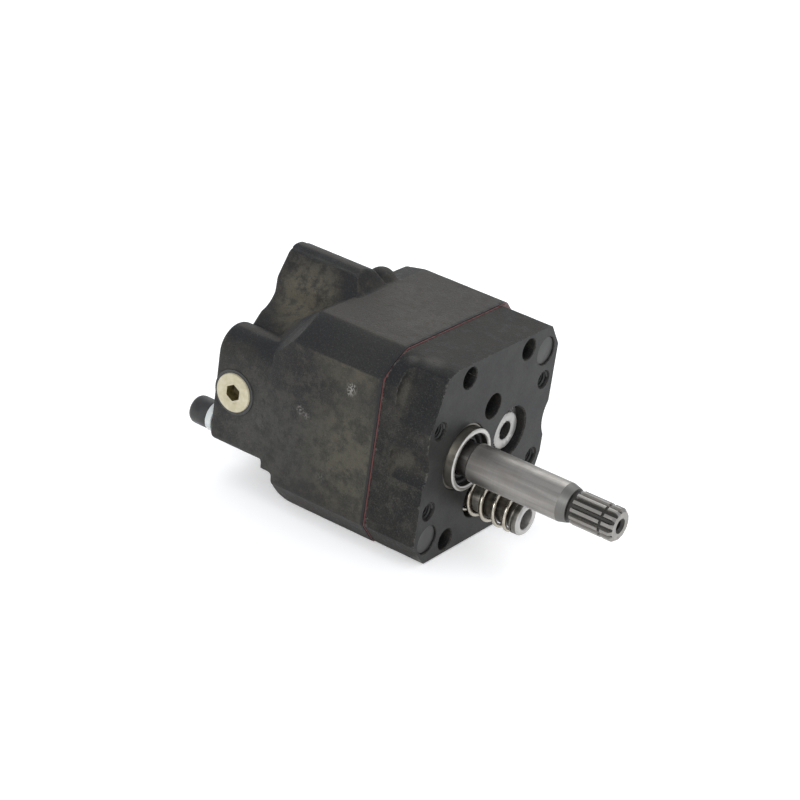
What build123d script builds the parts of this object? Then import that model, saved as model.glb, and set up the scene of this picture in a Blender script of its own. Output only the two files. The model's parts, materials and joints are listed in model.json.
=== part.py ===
from build123d import *
import math
import os

# Variable axial piston pump with a gear charge stage in its front plate.
# Frame: millimetres, +X along the drive shaft towards its splined tip, +Z up.
# Origin: where the shaft axis meets the machined front face of the front plate.
# Station names ending in _x are places along X; radii end in _r.

# ---- casing outline -------------------------------------------------------
GEAR_CENTRES = 51.0                     # drive axis to idler axis, along +Y
PLATE_MID_Y = GEAR_CENTRES / 2          # the plate is point-symmetric about this
PLATE_HALF_W = 68.0
PLATE_HALF_H = 65.5
PLATE_REAR_X = -38.0
GASKET_T = 0.8
HOUSING_FRONT_X = PLATE_REAR_X - GASKET_T
HOUSING_LIP = 1.0                       # the housing stands proud of the plate
BOTTOM_CUT = (54.5, 49.5)               # bevel at the bottom left
HOUSING_TOP_CUT = (62.0, 59.0)          # smaller bevel at the housing's top right
PLATE_CORNER = (50.0, 41.5, 57.0, 61.6)     # rounded corner at the plate's top left
HOUSING_CORNER = (51.0, 46.5, 57.9, 59.3)   # flatter one of the housing
BODY_REAR_X = -122.0                    # end of the full-height body
BODY_STEP_X = -113.0
HOUSING_REAR_X = -165.0
BODY_FLOOR_STEP_Z = -43.8
REAR_FLOOR_Z = -39.6
TOP_REAR_X = -105.5                     # rear end of the body's flat top
CHAMBER_R = 36.5
CHAMBER_REAR_X = -112.0

# ---- front plate features -------------------------------------------------
TAPPED_HALF_Y = 57.0
TAPPED_HALF_Z = 27.5
TAPPED_R = 5.4
TAPPED_DEPTH = 25.0
BOLT_HALF_Y = 32.5
BOLT_HALF_Z = 56.0
BOLT_HOLE_R = 7.0
BOLT_SEAT_X = -20.0
BOLT_END_X = -62.0
CORE_PLUG_Y = 54.0
CORE_PLUG_Z = 48.5
CORE_PLUG_R = 9.5
CORE_PLUG_FRONT_X = -1.2
PORT_C_R = 8.5
PORT_C_Z = 26.7
IDLER_BORE_R = 17.3
SLEEVE_R = 22.0                         # fitted part of the front sleeve
PILOT_R = 20.75                         # its nose, the mounting pilot
PILOT_BACK_X = -0.8
SLEEVE_BORE_R = 17.5
SLEEVE_FRONT_X = 6.0
SLEEVE_REAR_X = -16.0

# ---- charge gears ---------------------------------------------------------
GEAR_MODULE = 3.0
GEAR_TEETH = 17
GEAR_FRONT_X = -16.1
GEAR_REAR_X = -31.9
GEAR_BACKLASH = 0.24
PRESSURE_ANGLE = math.radians(20)
GEAR_CHAMBER_FRONT_X = -16.0
GEAR_CHAMBER_REAR_X = -32.0
GEAR_CHAMBER_R = GEAR_MODULE * (GEAR_TEETH + 2) / 2 + 0.1
PARTITION_R = 33.0
IDLER_JOURNAL_R = 12.7
IDLER_HOLE_R = 6.35
IDLER_FRONT_X = -3.2

# ---- drive shaft ----------------------------------------------------------
SHAFT_R = 12.7
SHAFT_TIP_X = 114.3
SPLINE_START_X = 84.5
SPLINE_MAJOR_R = 10.9
SPLINE_MINOR_R = 9.0
SPLINE_TEETH = 13
NECK_R = 11.0
BEARING_JOURNAL_R = 14.0
REAR_JOURNAL_R = 10.95
MID_SHAFT_R = 13.0
BLOCK_SPLINE_MINOR_R = 11.6
BLOCK_SPLINE_TEETH = 16
BLOCK_SPLINE_REAR_X = -106.0
BLOCK_SPLINE_FRONT_X = -66.0
SHAFT_REAR_X = -136.0

# ---- rotating group -------------------------------------------------------
PISTON_COUNT = 9
PISTON_CIRCLE_R = 23.0
PISTON_R = 6.0
BLOCK_R = 31.5
BLOCK_FRONT_X = -72.0
BLOCK_REAR_X = -108.0
VALVE_PLATE_T = 4.0
BALL_X = -60.5
BALL_R = 4.0
SWASH_FACE_X = -54.0
SWASH_T = 10.0
SWASH_R = 33.0
SWASH_HOLE_R = 17.0
TRUNNION_X = -48.0
TRUNNION_R = 6.5
BUSH_R = 8.8

# ---- control piston, compensator, plugs -----------------------------------
CONTROL_Y = 29.0
CONTROL_Z = 55.0
CONTROL_R = 9.0
BALL_END_R = 6.0
BIAS_SEAT_X = -40.2
ARM_LOW_Z = 44.5                        # control arm, below the screw beside it
ARM_TOP_Z = 50.6
COMP_Y = -32.7
COMP_Z = -28.4
COLLAR_END_X = -169.6
SIDE_PLUG_X = -148.6
SIDE_PLUG_Z = -0.5
SIDE_PLUG_COLLAR_R = 13.0
SPOT_FACE_R = 15.2
SIDE_WALL_Y = PLATE_MID_Y - PLATE_HALF_W - 0.5

# ---- relief valve ---------------------------------------------------------
RELIEF_Y = 22.5
RELIEF_Z = -36.2
RELIEF_BORE_R = 13.7
RELIEF_SEAT_X = -9.0
RELIEF_STEM_R = 8.5
RELIEF_HEAD_R = 11.2
RELIEF_HEAD_X = 32.0
RELIEF_TIP_X = 38.6
RELIEF_HOLE_R = 6.8
RELIEF_WIRE_R = 1.45
RELIEF_COIL_R = 10.6
RELIEF_OPEN_TURNS = 3.5
RELIEF_CLOSED_TURNS = 0.85              # at each end

# ---- rear ports -----------------------------------------------------------
PRESSURE_PORT = (10.0, 15.5)
PRESSURE_PORT_R = 10.3
SUCTION_PORT = (8.0, -19.5)
SUCTION_PORT_R = 15.6
PORT_DEPTH = 24.0

RUN_FIT = 0.05                          # radial clearance of a running fit


# ===========================================================================
# Drawing helpers
# ===========================================================================
def station(x):
    """Plane across the shaft at x, with local axes Y and Z."""
    return Plane.YZ.offset(x)


def rod(x0, x1, radius, y=0.0, z=0.0):
    """Cylinder along X between two stations."""
    length = abs(x1 - x0)
    middle = (x0 + x1) / 2
    return Pos(middle, y, z) * Rot(0, 90, 0) * Cylinder(radius, length)


def ring(x0, x1, outer_r, inner_r, y=0.0, z=0.0):
    """Hollow cylinder along X between two stations."""
    return rod(x0, x1, outer_r, y, z) - rod(x0 - 1, x1 + 1, inner_r, y, z)


def cone(x0, x1, r0, r1, y=0.0, z=0.0):
    """Cone along X, of radius r0 at x0 and r1 at x1, with x0 below x1."""
    middle = (x0 + x1) / 2
    return Pos(middle, y, z) * Rot(0, 90, 0) * Cone(r0, r1, x1 - x0)


def upright(z0, z1, radius, x, y):
    """Cylinder along Z between two heights."""
    return Pos(x, y, (z0 + z1) / 2) * Cylinder(radius, z1 - z0)


def across(y0, y1, radius, x, z):
    """Cylinder along Y between two places."""
    return Pos(x, (y0 + y1) / 2, z) * Rot(90, 0, 0) * Cylinder(radius, y1 - y0)


def brick(x0, x1, y0, y1, z0, z1):
    """Box between two corners."""
    middle = Pos((x0 + x1) / 2, (y0 + y1) / 2, (z0 + z1) / 2)
    return middle * Box(x1 - x0, y1 - y0, z1 - z0)


def across_x(profile, x0, x1):
    """Extrude a Y-Z face from station x0 to x1."""
    direction = Vector(math.copysign(1, x1 - x0), 0, 0)
    return extrude(station(x0) * profile, abs(x1 - x0), dir=direction)


def across_y(profile, y0, y1):
    """Extrude an X-Z face from y0 to y1, with y0 below y1."""
    return extrude(Plane.XZ.offset(-y0) * profile, y1 - y0, dir=Vector(0, 1, 0))


def round_nosed_rod(x0, x1, radius, corner_r):
    """Rod along X whose low end has a rounded corner."""
    k = corner_r * (1 - math.cos(math.pi / 4))
    shape = make_face([
        Line((x0, 0), (x0, radius - corner_r)),
        ThreePointArc(
            (x0, radius - corner_r), (x0 + k, radius - k), (x0 + corner_r, radius),
        ),
        Line((x0 + corner_r, radius), (x1, radius)),
        Line((x1, radius), (x1, 0)),
        Line((x1, 0), (x0, 0)),
    ])
    return revolve(shape, Axis.X, 360)


def coil(x0, x1, mean_r, wire_r, turns, y=0.0, z=0.0):
    """Helical spring along X that lies between two stations, ends closed by its wire."""
    start = x0 + wire_r
    height = x1 - x0 - 2 * wire_r
    path = Helix(pitch=height / turns, height=height, radius=mean_r)
    section = Plane(origin=path @ 0, z_dir=path % 0) * Circle(wire_r)
    wire = sweep(section, path=path, is_frenet=True)
    return Pos(start, y, z) * Rot(0, 90, 0) * wire


def hex_socket(x_mouth, depth, across_flats, y, z, direction=-1):
    """Hexagonal socket along X, sunk from its mouth."""
    profile = Pos(y, z) * RegularPolygon(across_flats / math.sqrt(3), 6)
    return across_x(profile, x_mouth, x_mouth + direction * depth)


def mirrored_pair(y_offset, z_offset):
    """The two point-symmetric places on the front plate, as (y, z)."""
    return [
        (PLATE_MID_Y + y_offset, z_offset),
        (PLATE_MID_Y - y_offset, -z_offset),
    ]


def rectangle_places(half_y, half_z):
    """Four corner places of a bolt rectangle on the front plate."""
    return [
        (PLATE_MID_Y + i * half_y, j * half_z)
        for i in (-1, 1)
        for j in (-1, 1)
    ]


def spline_profile(major_r, minor_r, teeth, grow=0.0):
    """Face of a straight-sided spline, with teeth as wide as their gaps at mid height."""
    outer = major_r + grow
    inner = minor_r + grow
    half_pitch = math.pi / teeth
    core = Circle(inner)
    tip_half = outer * math.sin(half_pitch * 0.36) + grow
    root_half = inner * math.sin(half_pitch * 0.66) + grow
    tooth = Polygon(
        (inner - 0.8, -root_half),
        (outer, -tip_half),
        (outer, tip_half),
        (inner - 0.8, root_half),
        align=None,
    )
    for i in range(teeth):
        core += Rot(0, 0, i * 360 / teeth) * tooth
    return core & Circle(outer)


# ===========================================================================
# Casing
# ===========================================================================
def casing_outline(grow, top_cut=(57.0, 50.0), corner=PLATE_CORNER):
    """Outline of plate, gasket and housing flange, as a Y-Z face.

    It is point-symmetric, but for the corner at the top right: top_cut gives
    where that corner's bevel leaves the top and the side, from the middle.
    The rounded corner leaves the side at corner_z and the top at round_y.
    """
    w = PLATE_HALF_W + grow
    h = PLATE_HALF_H + grow
    corner_z, round_y, bulge_y, bulge_z = corner
    edges = []
    for s, (cut_y, cut_z) in ((1, top_cut), (-1, BOTTOM_CUT)):
        top_left = (-w * s, corner_z * s)
        top_round = (-round_y * s, h * s)
        through = (-(bulge_y + grow * 0.56) * s, (bulge_z + grow * 0.83) * s)
        top_right = (cut_y * s, h * s)
        right_low = (w * s, cut_z * s)
        edges.append(ThreePointArc(top_left, through, top_round))
        edges.append(Line(top_round, top_right))
        edges.append(Line(top_right, right_low))
        edges.append(Line(right_low, (w * s, -corner_z * s)))
    return Pos(PLATE_MID_Y, 0) * make_face(edges)


def charge_stage_cavity():
    """Gear chamber, its inlet and outlet pockets and the partition plate's recess."""
    cavity = rod(GEAR_CHAMBER_REAR_X, GEAR_CHAMBER_FRONT_X, GEAR_CHAMBER_R)
    cavity += rod(GEAR_CHAMBER_REAR_X, GEAR_CHAMBER_FRONT_X, GEAR_CHAMBER_R, GEAR_CENTRES)
    for end_z in (PORT_C_Z, RELIEF_Z):
        z0, z1 = sorted((math.copysign(10.0, end_z), end_z))
        cavity += brick(
            GEAR_CHAMBER_REAR_X, GEAR_CHAMBER_FRONT_X,
            PLATE_MID_Y - PORT_C_R, PLATE_MID_Y + PORT_C_R, z0, z1,
        )
    cavity += across_x(partition_face(0.05), PLATE_REAR_X - 1, GEAR_CHAMBER_REAR_X)
    return cavity


def partition_face(grow):
    """Oval Y-Z face round both gear axes."""
    oval = SlotCenterToCenter(GEAR_CENTRES, 2 * (PARTITION_R + grow))
    return Pos(PLATE_MID_Y, 0) * oval


def plate_side_reliefs():
    """Slanted corner recesses and mid-height scallops in the plate's two sides."""
    recess_back_x = -28.0
    low = (-PLATE_HALF_W - 0.2, 27.0)
    high = (-55.5, 64.3)
    outside = 20.0
    corner = Polygon(
        low, high, (high[0], high[1] + outside), (low[0] - outside, high[1] + outside),
        (low[0] - outside, low[1]), align=None,
    )
    recess = across_x(corner, recess_back_x, 1)
    foot = recess.edges().sort_by_distance((recess_back_x, high[0] - 6, 45))[0]
    recess = fillet(foot, 5.0)
    scoop = round_nosed_rod(-26.8, 2.0, 20.0, 5.0)
    scoop = Pos(0, -84.0, 3.0) * scoop
    return [
        Pos(0, PLATE_MID_Y, 0) * Rot(turn, 0, 0) * cut
        for turn in (0, 180)
        for cut in (recess, scoop)
    ]


def front_plate():
    """Front plate: gear chamber behind, machined mounting face in front."""
    body = across_x(casing_outline(0), PLATE_REAR_X, 0)
    face_edges = body.edges().filter_by(Axis.X)
    body = fillet(face_edges, 2.0)
    for relief in plate_side_reliefs():
        body -= relief
    body -= charge_stage_cavity()
    for y, z in rectangle_places(TAPPED_HALF_Y, TAPPED_HALF_Z):
        body -= rod(-TAPPED_DEPTH, 1, TAPPED_R, y, z)
        body -= cone(-1.2, 0, TAPPED_R, TAPPED_R + 1.2, y, z)
    for y, z in rectangle_places(BOLT_HALF_Y, BOLT_HALF_Z):
        body -= rod(BOLT_SEAT_X, 1, BOLT_HOLE_R, y, z)
        body -= rod(PLATE_REAR_X - 1, BOLT_SEAT_X, 4.5, y, z)
        body -= cone(-0.8, 0, BOLT_HOLE_R, BOLT_HOLE_R + 0.8, y, z)
    for y, z in mirrored_pair(CORE_PLUG_Y, CORE_PLUG_Z):
        body -= rod(-6, 1, CORE_PLUG_R, y, z)
        body -= rod(-14, -6, CORE_PLUG_R - 2.5, y, z)
        body -= rod(PLATE_REAR_X - 1, -29, 4.0, y, z)
    body -= rod(GEAR_CHAMBER_REAR_X, 1, PORT_C_R, PLATE_MID_Y, PORT_C_Z)
    body -= rod(GEAR_CHAMBER_FRONT_X - 1, 1, IDLER_BORE_R, GEAR_CENTRES)
    body -= cone(-1.0, 0, IDLER_BORE_R, IDLER_BORE_R + 1.0, GEAR_CENTRES)
    body -= rod(GEAR_CHAMBER_FRONT_X - 1, 1, SLEEVE_R)
    body -= cone(-0.5, 0, SLEEVE_R, SLEEVE_R + 0.5)
    body -= rod(RELIEF_SEAT_X, 1, RELIEF_BORE_R, RELIEF_Y, RELIEF_Z)
    stem_bore_r = RELIEF_STEM_R + RUN_FIT
    body -= rod(GEAR_CHAMBER_REAR_X + 4, RELIEF_SEAT_X, stem_bore_r, RELIEF_Y, RELIEF_Z)
    body -= rod(PLATE_REAR_X - 1, -14, 7.5, CONTROL_Y, CONTROL_Z)
    return body


def lobe_outline():
    """Y-Z face of the control-piston boss on the housing's rear top."""
    face = Polygon((8, 34), (9, 60), (20, 77), (38, 77), (50, 60), (54, 34), align=None)
    crown = Pos(29, 68) * Circle(11.2)
    return face + crown


def rear_outline():
    """Y-Z face of the rear block: compensator lobe at the left, valley, rising floor."""
    lobe_y, lobe_z, lobe_r = -26.0, 21.0, 17.5
    left = SIDE_WALL_Y
    floor = REAR_FLOOR_Z
    edges = [
        Line((left, floor), (left, lobe_z)),
        ThreePointArc(
            (left, lobe_z),
            (lobe_y - lobe_r * math.cos(math.pi / 4), lobe_z + lobe_r * math.sin(math.pi / 4)),
            (lobe_y, lobe_z + lobe_r),
        ),
        ThreePointArc(
            (lobe_y, lobe_z + lobe_r), (-18.3, 36.7), (-12.0, 31.6),
        ),
        Line((-12.0, 31.6), (-3.2, 40.4)),
        ThreePointArc((-3.2, 40.4), (6.2, 46.2), (10.2, 56.0)),
        Line((10.2, 56.0), (50.0, 56.0)),
        Line((50.0, 56.0), (82.0, 44.0)),
        Line((82.0, 44.0), (88.0, 34.0)),
        Line((88.0, 34.0), (88.0, -30.0)),
        Line((88.0, -30.0), (80.0, floor)),
        Line((80.0, floor), (left, floor)),
    ]
    return make_face(edges)


def body_side_outline():
    """X-Z face that trims the full-height body: longer at the top, rounded rear bottom."""
    top = PLATE_HALF_H + HOUSING_LIP
    heel_r = 9.0
    k = heel_r * (1 - math.cos(math.pi / 4))
    edges = [
        Line((HOUSING_FRONT_X, -top), (HOUSING_FRONT_X, top + 1)),
        Line((HOUSING_FRONT_X, top + 1), (BODY_REAR_X - 20, top + 1)),
        Line((BODY_REAR_X - 20, top + 1), (BODY_REAR_X - 20, 36.0)),
        Line((BODY_REAR_X - 20, 36.0), (BODY_REAR_X, 36.0)),
        Line((BODY_REAR_X, 36.0), (BODY_REAR_X, BODY_FLOOR_STEP_Z)),
        Line((BODY_REAR_X, BODY_FLOOR_STEP_Z), (BODY_STEP_X, BODY_FLOOR_STEP_Z)),
        Line((BODY_STEP_X, BODY_FLOOR_STEP_Z), (BODY_STEP_X, -top + heel_r)),
        ThreePointArc(
            (BODY_STEP_X, -top + heel_r),
            (BODY_STEP_X + k, -top + k),
            (BODY_STEP_X + heel_r, -top),
        ),
        Line((BODY_STEP_X + heel_r, -top), (HOUSING_FRONT_X, -top)),
    ]
    return make_face(edges)


def rear_top_slopes():
    """Solids that cut the body's top down towards its rear."""
    top = PLATE_HALF_H + HOUSING_LIP
    back = BODY_REAR_X - 40
    steep = math.tan(math.radians(38)) * (TOP_REAR_X - back)
    middle = Polygon(
        (TOP_REAR_X, top), (TOP_REAR_X, top + 20), (back, top + 20), (back, top - steep),
        align=None,
    )
    gentle = math.tan(math.radians(17)) * (TOP_REAR_X + 3 - back)
    right = Polygon(
        (TOP_REAR_X + 3, top), (TOP_REAR_X + 3, top + 20), (back, top + 20),
        (back, top - gentle), align=None,
    )
    left = Plane(origin=(-107, SIDE_WALL_Y, 52), z_dir=(-0.683, -0.367, 0.633))
    outside = BODY_REAR_X - 21
    return [
        across_y(middle, -60, 44),
        across_y(right, 44, 110),
        left * Pos(0, 0, 50) * Box(160, 160, 100),
        brick(outside, BODY_REAR_X, 44, 110, 20, 70),
    ]


def housing_shell():
    """Outer form of the one-piece cast housing."""
    outline = casing_outline(HOUSING_LIP, HOUSING_TOP_CUT, HOUSING_CORNER)
    block = across_x(outline, BODY_REAR_X - 20, HOUSING_FRONT_X)
    block = fillet(block.edges().filter_by(Axis.X), 2.5)
    block = block & across_y(body_side_outline(), -120, 120)
    for slope in rear_top_slopes():
        block -= slope
    rear = across_x(rear_outline(), HOUSING_REAR_X, BODY_REAR_X + 8)
    low_left = rear.edges().filter_by(Axis.X).sort_by_distance((-143, SIDE_WALL_Y, REAR_FLOOR_Z))[0]
    rear = fillet(low_left, 5.0)
    rear = chamfer(rear.faces().sort_by(Axis.X)[0].edges(), 2.0)
    lobe = across_x(lobe_outline(), HOUSING_REAR_X, -98)
    lobe = chamfer(lobe.faces().sort_by(Axis.X)[0].edges(), 2.0)
    slope = Polygon(
        (HOUSING_REAR_X - 1, 30), (HOUSING_REAR_X - 1, 81), (-112, 81), (-102, 66), (-102, 30),
        align=None,
    )
    lobe = lobe & across_y(slope, -120, 120)
    knob = Pos(-113, 53, 62.5) * Sphere(10.5)
    return block + rear + lobe + knob


def kidney(x0, x1, centre_deg, half_deg, width):
    """Arc-shaped slot on the piston circle."""
    steps = 9
    cut = None
    for i in range(steps):
        a = math.radians(centre_deg - half_deg + 2 * half_deg * i / (steps - 1))
        y = PISTON_CIRCLE_R * math.cos(a)
        z = PISTON_CIRCLE_R * math.sin(a)
        hole = rod(x0, x1, width / 2, y, z)
        cut = hole if cut is None else cut + hole
    return cut


def arm_pocket(x0, x1):
    """Stepped hollow in which the control arm swings."""
    low = brick(x0, x1, -10.5, 20, ARM_LOW_Z - 0.4, ARM_TOP_Z + 0.4)
    return low + brick(x0, x1, 19, 38, ARM_LOW_Z - 0.4, 62.5)


def main_housing():
    """Cast housing with the rotating group's chamber, ports and control bores."""
    body = housing_shell()
    body -= rod(CHAMBER_REAR_X, HOUSING_FRONT_X + 1, CHAMBER_R)
    body -= rod(-134, CHAMBER_REAR_X + 1, 14.5)
    body -= rod(-137, -133, 12.0)
    body -= kidney(-124, CHAMBER_REAR_X + 1, 90, 50, 8.0)
    body -= kidney(-124, CHAMBER_REAR_X + 1, 270, 50, 8.0)
    ports = ((PRESSURE_PORT, PRESSURE_PORT_R), (SUCTION_PORT, SUCTION_PORT_R))
    for (y, z), radius in ports:
        body -= rod(HOUSING_REAR_X - 1, HOUSING_REAR_X + PORT_DEPTH, radius, y, z)
        body -= rod(HOUSING_REAR_X + PORT_DEPTH, -122, radius - 3, y, z)
        body -= cone(HOUSING_REAR_X - 0.01, HOUSING_REAR_X + 1.6, radius + 1.6, radius, y, z)
    for s in (1, -1):
        z0, z1 = sorted((s * 30.0, s * 46.0))
        body -= upright(z0, z1, BUSH_R, TRUNNION_X, 0)
    body -= arm_pocket(-60, HOUSING_FRONT_X + 1)
    body -= rod(HOUSING_REAR_X - 1, -59, CONTROL_R + 0.03, CONTROL_Y, CONTROL_Z)
    body -= rod(HOUSING_REAR_X - 1, HOUSING_REAR_X + 12, CONTROL_R + 2, CONTROL_Y, CONTROL_Z)
    body -= rod(HOUSING_REAR_X - 1, -128, 4.0 + RUN_FIT, COMP_Y, COMP_Z)
    body -= rod(HOUSING_REAR_X - 1, -146, 7.5, COMP_Y, COMP_Z)
    body -= across(SIDE_WALL_Y - 2, -30, 9.0, SIDE_PLUG_X, SIDE_PLUG_Z)
    body -= across(SIDE_WALL_Y - 2, SIDE_WALL_Y + 1.2, SPOT_FACE_R, SIDE_PLUG_X, SIDE_PLUG_Z)
    for y, z in rectangle_places(BOLT_HALF_Y, BOLT_HALF_Z):
        body -= rod(BOLT_END_X - 2, HOUSING_FRONT_X + 1, 4.0, y, z)
    for y, z in mirrored_pair(CORE_PLUG_Y, CORE_PLUG_Z):
        body -= rod(-47, HOUSING_FRONT_X + 1, 4.0, y, z)
    return body


def housing_gasket():
    """Sealing sheet between plate and housing."""
    outline = casing_outline(0.3, HOUSING_TOP_CUT, HOUSING_CORNER)
    sheet = across_x(outline, HOUSING_FRONT_X, PLATE_REAR_X)
    sheet -= rod(HOUSING_FRONT_X - 1, PLATE_REAR_X + 1, CHAMBER_R)
    sheet -= across_x(partition_face(-3), HOUSING_FRONT_X - 1, PLATE_REAR_X + 1)
    sheet -= arm_pocket(HOUSING_FRONT_X - 1, PLATE_REAR_X + 1)
    for y, z in rectangle_places(BOLT_HALF_Y, BOLT_HALF_Z):
        sheet -= rod(HOUSING_FRONT_X - 1, PLATE_REAR_X + 1, 4.5, y, z)
    for y, z in mirrored_pair(CORE_PLUG_Y, CORE_PLUG_Z):
        sheet -= rod(HOUSING_FRONT_X - 1, PLATE_REAR_X + 1, 4.2, y, z)
    return sheet


def housing_bolts():
    """Four socket screws that clamp the plate to the housing, sunk in the plate."""
    head_r, head_t = 6.5, 8.0
    screws = []
    for y, z in rectangle_places(BOLT_HALF_Y, BOLT_HALF_Z):
        screw = rod(BOLT_SEAT_X, BOLT_SEAT_X + head_t, head_r, y, z)
        screw += rod(BOLT_END_X, BOLT_SEAT_X, 3.98, y, z)
        screw -= hex_socket(BOLT_SEAT_X + head_t, 4.5, 6.0, y, z)
        screws.append(screw)
    return Compound(screws)


def core_plugs():
    """Two thin discs pressed in just below the front face."""
    discs = []
    for y, z in mirrored_pair(CORE_PLUG_Y, CORE_PLUG_Z):
        disc = rod(-6, CORE_PLUG_FRONT_X, CORE_PLUG_R - 0.01, y, z)
        rim = disc.edges().sort_by(Axis.X)[-1]
        discs.append(fillet(rim, 0.5))
    return Compound(discs)


def dowel_pins():
    """Two pins that locate the plate on the housing."""
    pins = []
    for y, z in mirrored_pair(CORE_PLUG_Y, CORE_PLUG_Z):
        pin = rod(-46.5, -29.5, 3.99, y, z)
        ends = pin.edges().filter_by(GeomType.CIRCLE)
        pins.append(chamfer(ends, 0.6))
    return Compound(pins)


def partition_plate():
    """Hardened plate that closes the gear chamber and carries the idler's rear journal."""
    plate = across_x(partition_face(0), PLATE_REAR_X, GEAR_CHAMBER_REAR_X)
    plate -= rod(PLATE_REAR_X - 1, GEAR_CHAMBER_REAR_X + 1, 13.3)
    journal_bore = IDLER_JOURNAL_R + RUN_FIT
    return plate - rod(PLATE_REAR_X - 1, GEAR_CHAMBER_REAR_X + 1, journal_bore, GEAR_CENTRES)


# ===========================================================================
# Bearings and seals
# ===========================================================================
def front_bearing_sleeve():
    """Ground steel sleeve round the shaft; its nose is the mounting pilot."""
    sleeve = ring(SLEEVE_REAR_X, SLEEVE_FRONT_X, PILOT_R, SLEEVE_BORE_R)
    sleeve += ring(SLEEVE_REAR_X, PILOT_BACK_X, SLEEVE_R - 0.01, SLEEVE_BORE_R)
    nose = sleeve.faces().sort_by(Axis.X)[-1].edges()
    return chamfer(nose, 0.7)


def needle_ring(x0, x1, shell_r, shaft_r, y=0.0, z=0.0):
    """Drawn shell and a full circle of needles round a journal, as separate solids."""
    shell_t = 1.2
    needle_r = (shell_r - shell_t - shaft_r - RUN_FIT) / 2 - 0.02
    orbit_r = shaft_r + RUN_FIT + needle_r + 0.01
    count = int(math.pi / math.asin((needle_r + 0.06) / orbit_r))
    shell = ring(x0, x1, shell_r - 0.01, shell_r - shell_t, y, z)
    lips = ring(x0, x0 + 0.8, shell_r - shell_t, orbit_r + needle_r * 0.4, y, z)
    lips += ring(x1 - 0.8, x1, shell_r - shell_t, orbit_r + needle_r * 0.4, y, z)
    solids = [shell + lips]
    for i in range(count):
        a = 2 * math.pi * i / count
        solids.append(
            rod(x0 + 1, x1 - 1, needle_r, y + orbit_r * math.cos(a), z + orbit_r * math.sin(a))
        )
    return Compound(solids)


def front_needle_bearing():
    """Needle bearing of the shaft, inside the front sleeve."""
    return needle_ring(-15.8, -4.2, SLEEVE_BORE_R, BEARING_JOURNAL_R)


def idler_needle_bearing():
    """Needle bearing of the idler's hollow front journal."""
    return needle_ring(-15.8, -7.0, IDLER_BORE_R, IDLER_JOURNAL_R, GEAR_CENTRES)


def rear_needle_bearing():
    """Needle bearing of the shaft's rear journal."""
    return needle_ring(-133.8, -114.2, 14.5, REAR_JOURNAL_R)


def shaft_seal():
    """Lip seal in the sleeve: a cased rubber ring with a lip on the shaft's neck."""
    case = ring(-3.6, 1.6, SLEEVE_BORE_R - 0.01, 15.6)
    web = ring(-3.6, -2.2, 15.6, NECK_R + 0.4)
    lip = ring(-3.6, 0.6, NECK_R + 1.6, NECK_R + 0.2)
    return case + web + lip


# ===========================================================================
# Charge gears
# ===========================================================================
def involute(angle):
    """Roll-off angle of an involute at a pressure angle."""
    return math.tan(angle) - angle


def gear_profile():
    """Involute spur gear face with a tooth centred on local +X."""
    pitch_r = GEAR_MODULE * GEAR_TEETH / 2
    base_r = pitch_r * math.cos(PRESSURE_ANGLE)
    tip_r = pitch_r + GEAR_MODULE
    root_r = pitch_r - 1.25 * GEAR_MODULE
    half_tooth = math.pi / (2 * GEAR_TEETH) - GEAR_BACKLASH / (4 * pitch_r)
    flank = []
    steps = 6
    start_r = base_r + 0.02
    for i in range(steps):
        r = start_r + (tip_r - start_r) * i / (steps - 1)
        turn = half_tooth + involute(PRESSURE_ANGLE) - involute(math.acos(base_r / r))
        flank.append((r * math.cos(turn), r * math.sin(turn)))
    foot_turn = math.atan2(flank[0][1], flank[0][0])
    foot = (root_r * 0.98 * math.cos(foot_turn), root_r * 0.98 * math.sin(foot_turn))
    upper = Spline(*flank)
    lower = Spline(*[(x, -y) for x, y in flank])
    tooth = make_face([
        Line(foot, flank[0]),
        upper,
        ThreePointArc(flank[-1], (tip_r, 0), (flank[-1][0], -flank[-1][1])),
        lower,
        Line((flank[0][0], -flank[0][1]), (foot[0], -foot[1])),
        Line((foot[0], -foot[1]), foot),
    ])
    face = Circle(root_r)
    for i in range(GEAR_TEETH):
        face += Rot(0, 0, 360 * i / GEAR_TEETH) * tooth
    return face


def charge_drive_gear():
    """Charge gear keyed to the drive shaft."""
    gear = across_x(gear_profile(), GEAR_REAR_X, GEAR_FRONT_X)
    gear -= rod(GEAR_REAR_X - 1, GEAR_FRONT_X + 1, 13.01)
    gear -= brick(GEAR_REAR_X - 1, GEAR_FRONT_X + 1, -3.02, 3.02, 8, 15.6)
    return gear


def gear_key():
    """Square key between shaft and drive gear."""
    return brick(-30.5, -17.5, -3.0, 3.0, 9.6, 15.5)


def charge_idler_gear():
    """Idler with a hollow ground journal on each side, in mesh with the drive gear."""
    half_pitch = 180 / GEAR_TEETH
    face = Pos(GEAR_CENTRES, 0) * Rot(0, 0, 180 + half_pitch) * gear_profile()
    gear = across_x(face, GEAR_REAR_X, GEAR_FRONT_X)
    gear += rod(PLATE_REAR_X + 0.5, IDLER_FRONT_X, IDLER_JOURNAL_R, GEAR_CENTRES)
    gear -= rod(PLATE_REAR_X - 1, IDLER_FRONT_X + 1, IDLER_HOLE_R, GEAR_CENTRES)
    mouth = gear.faces().filter_by(Axis.X).sort_by(Axis.X)[-1].edges()
    return chamfer(mouth, 0.6)


# ===========================================================================
# Drive shaft and rotating group
# ===========================================================================
def spline_gaps(x0, x1, major_r, minor_r, teeth):
    """Gaps between spline teeth, to cut from a rod of the major radius."""
    gaps = Circle(major_r + 1) - spline_profile(major_r, minor_r, teeth)
    return across_x(gaps, x0, x1)


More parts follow.
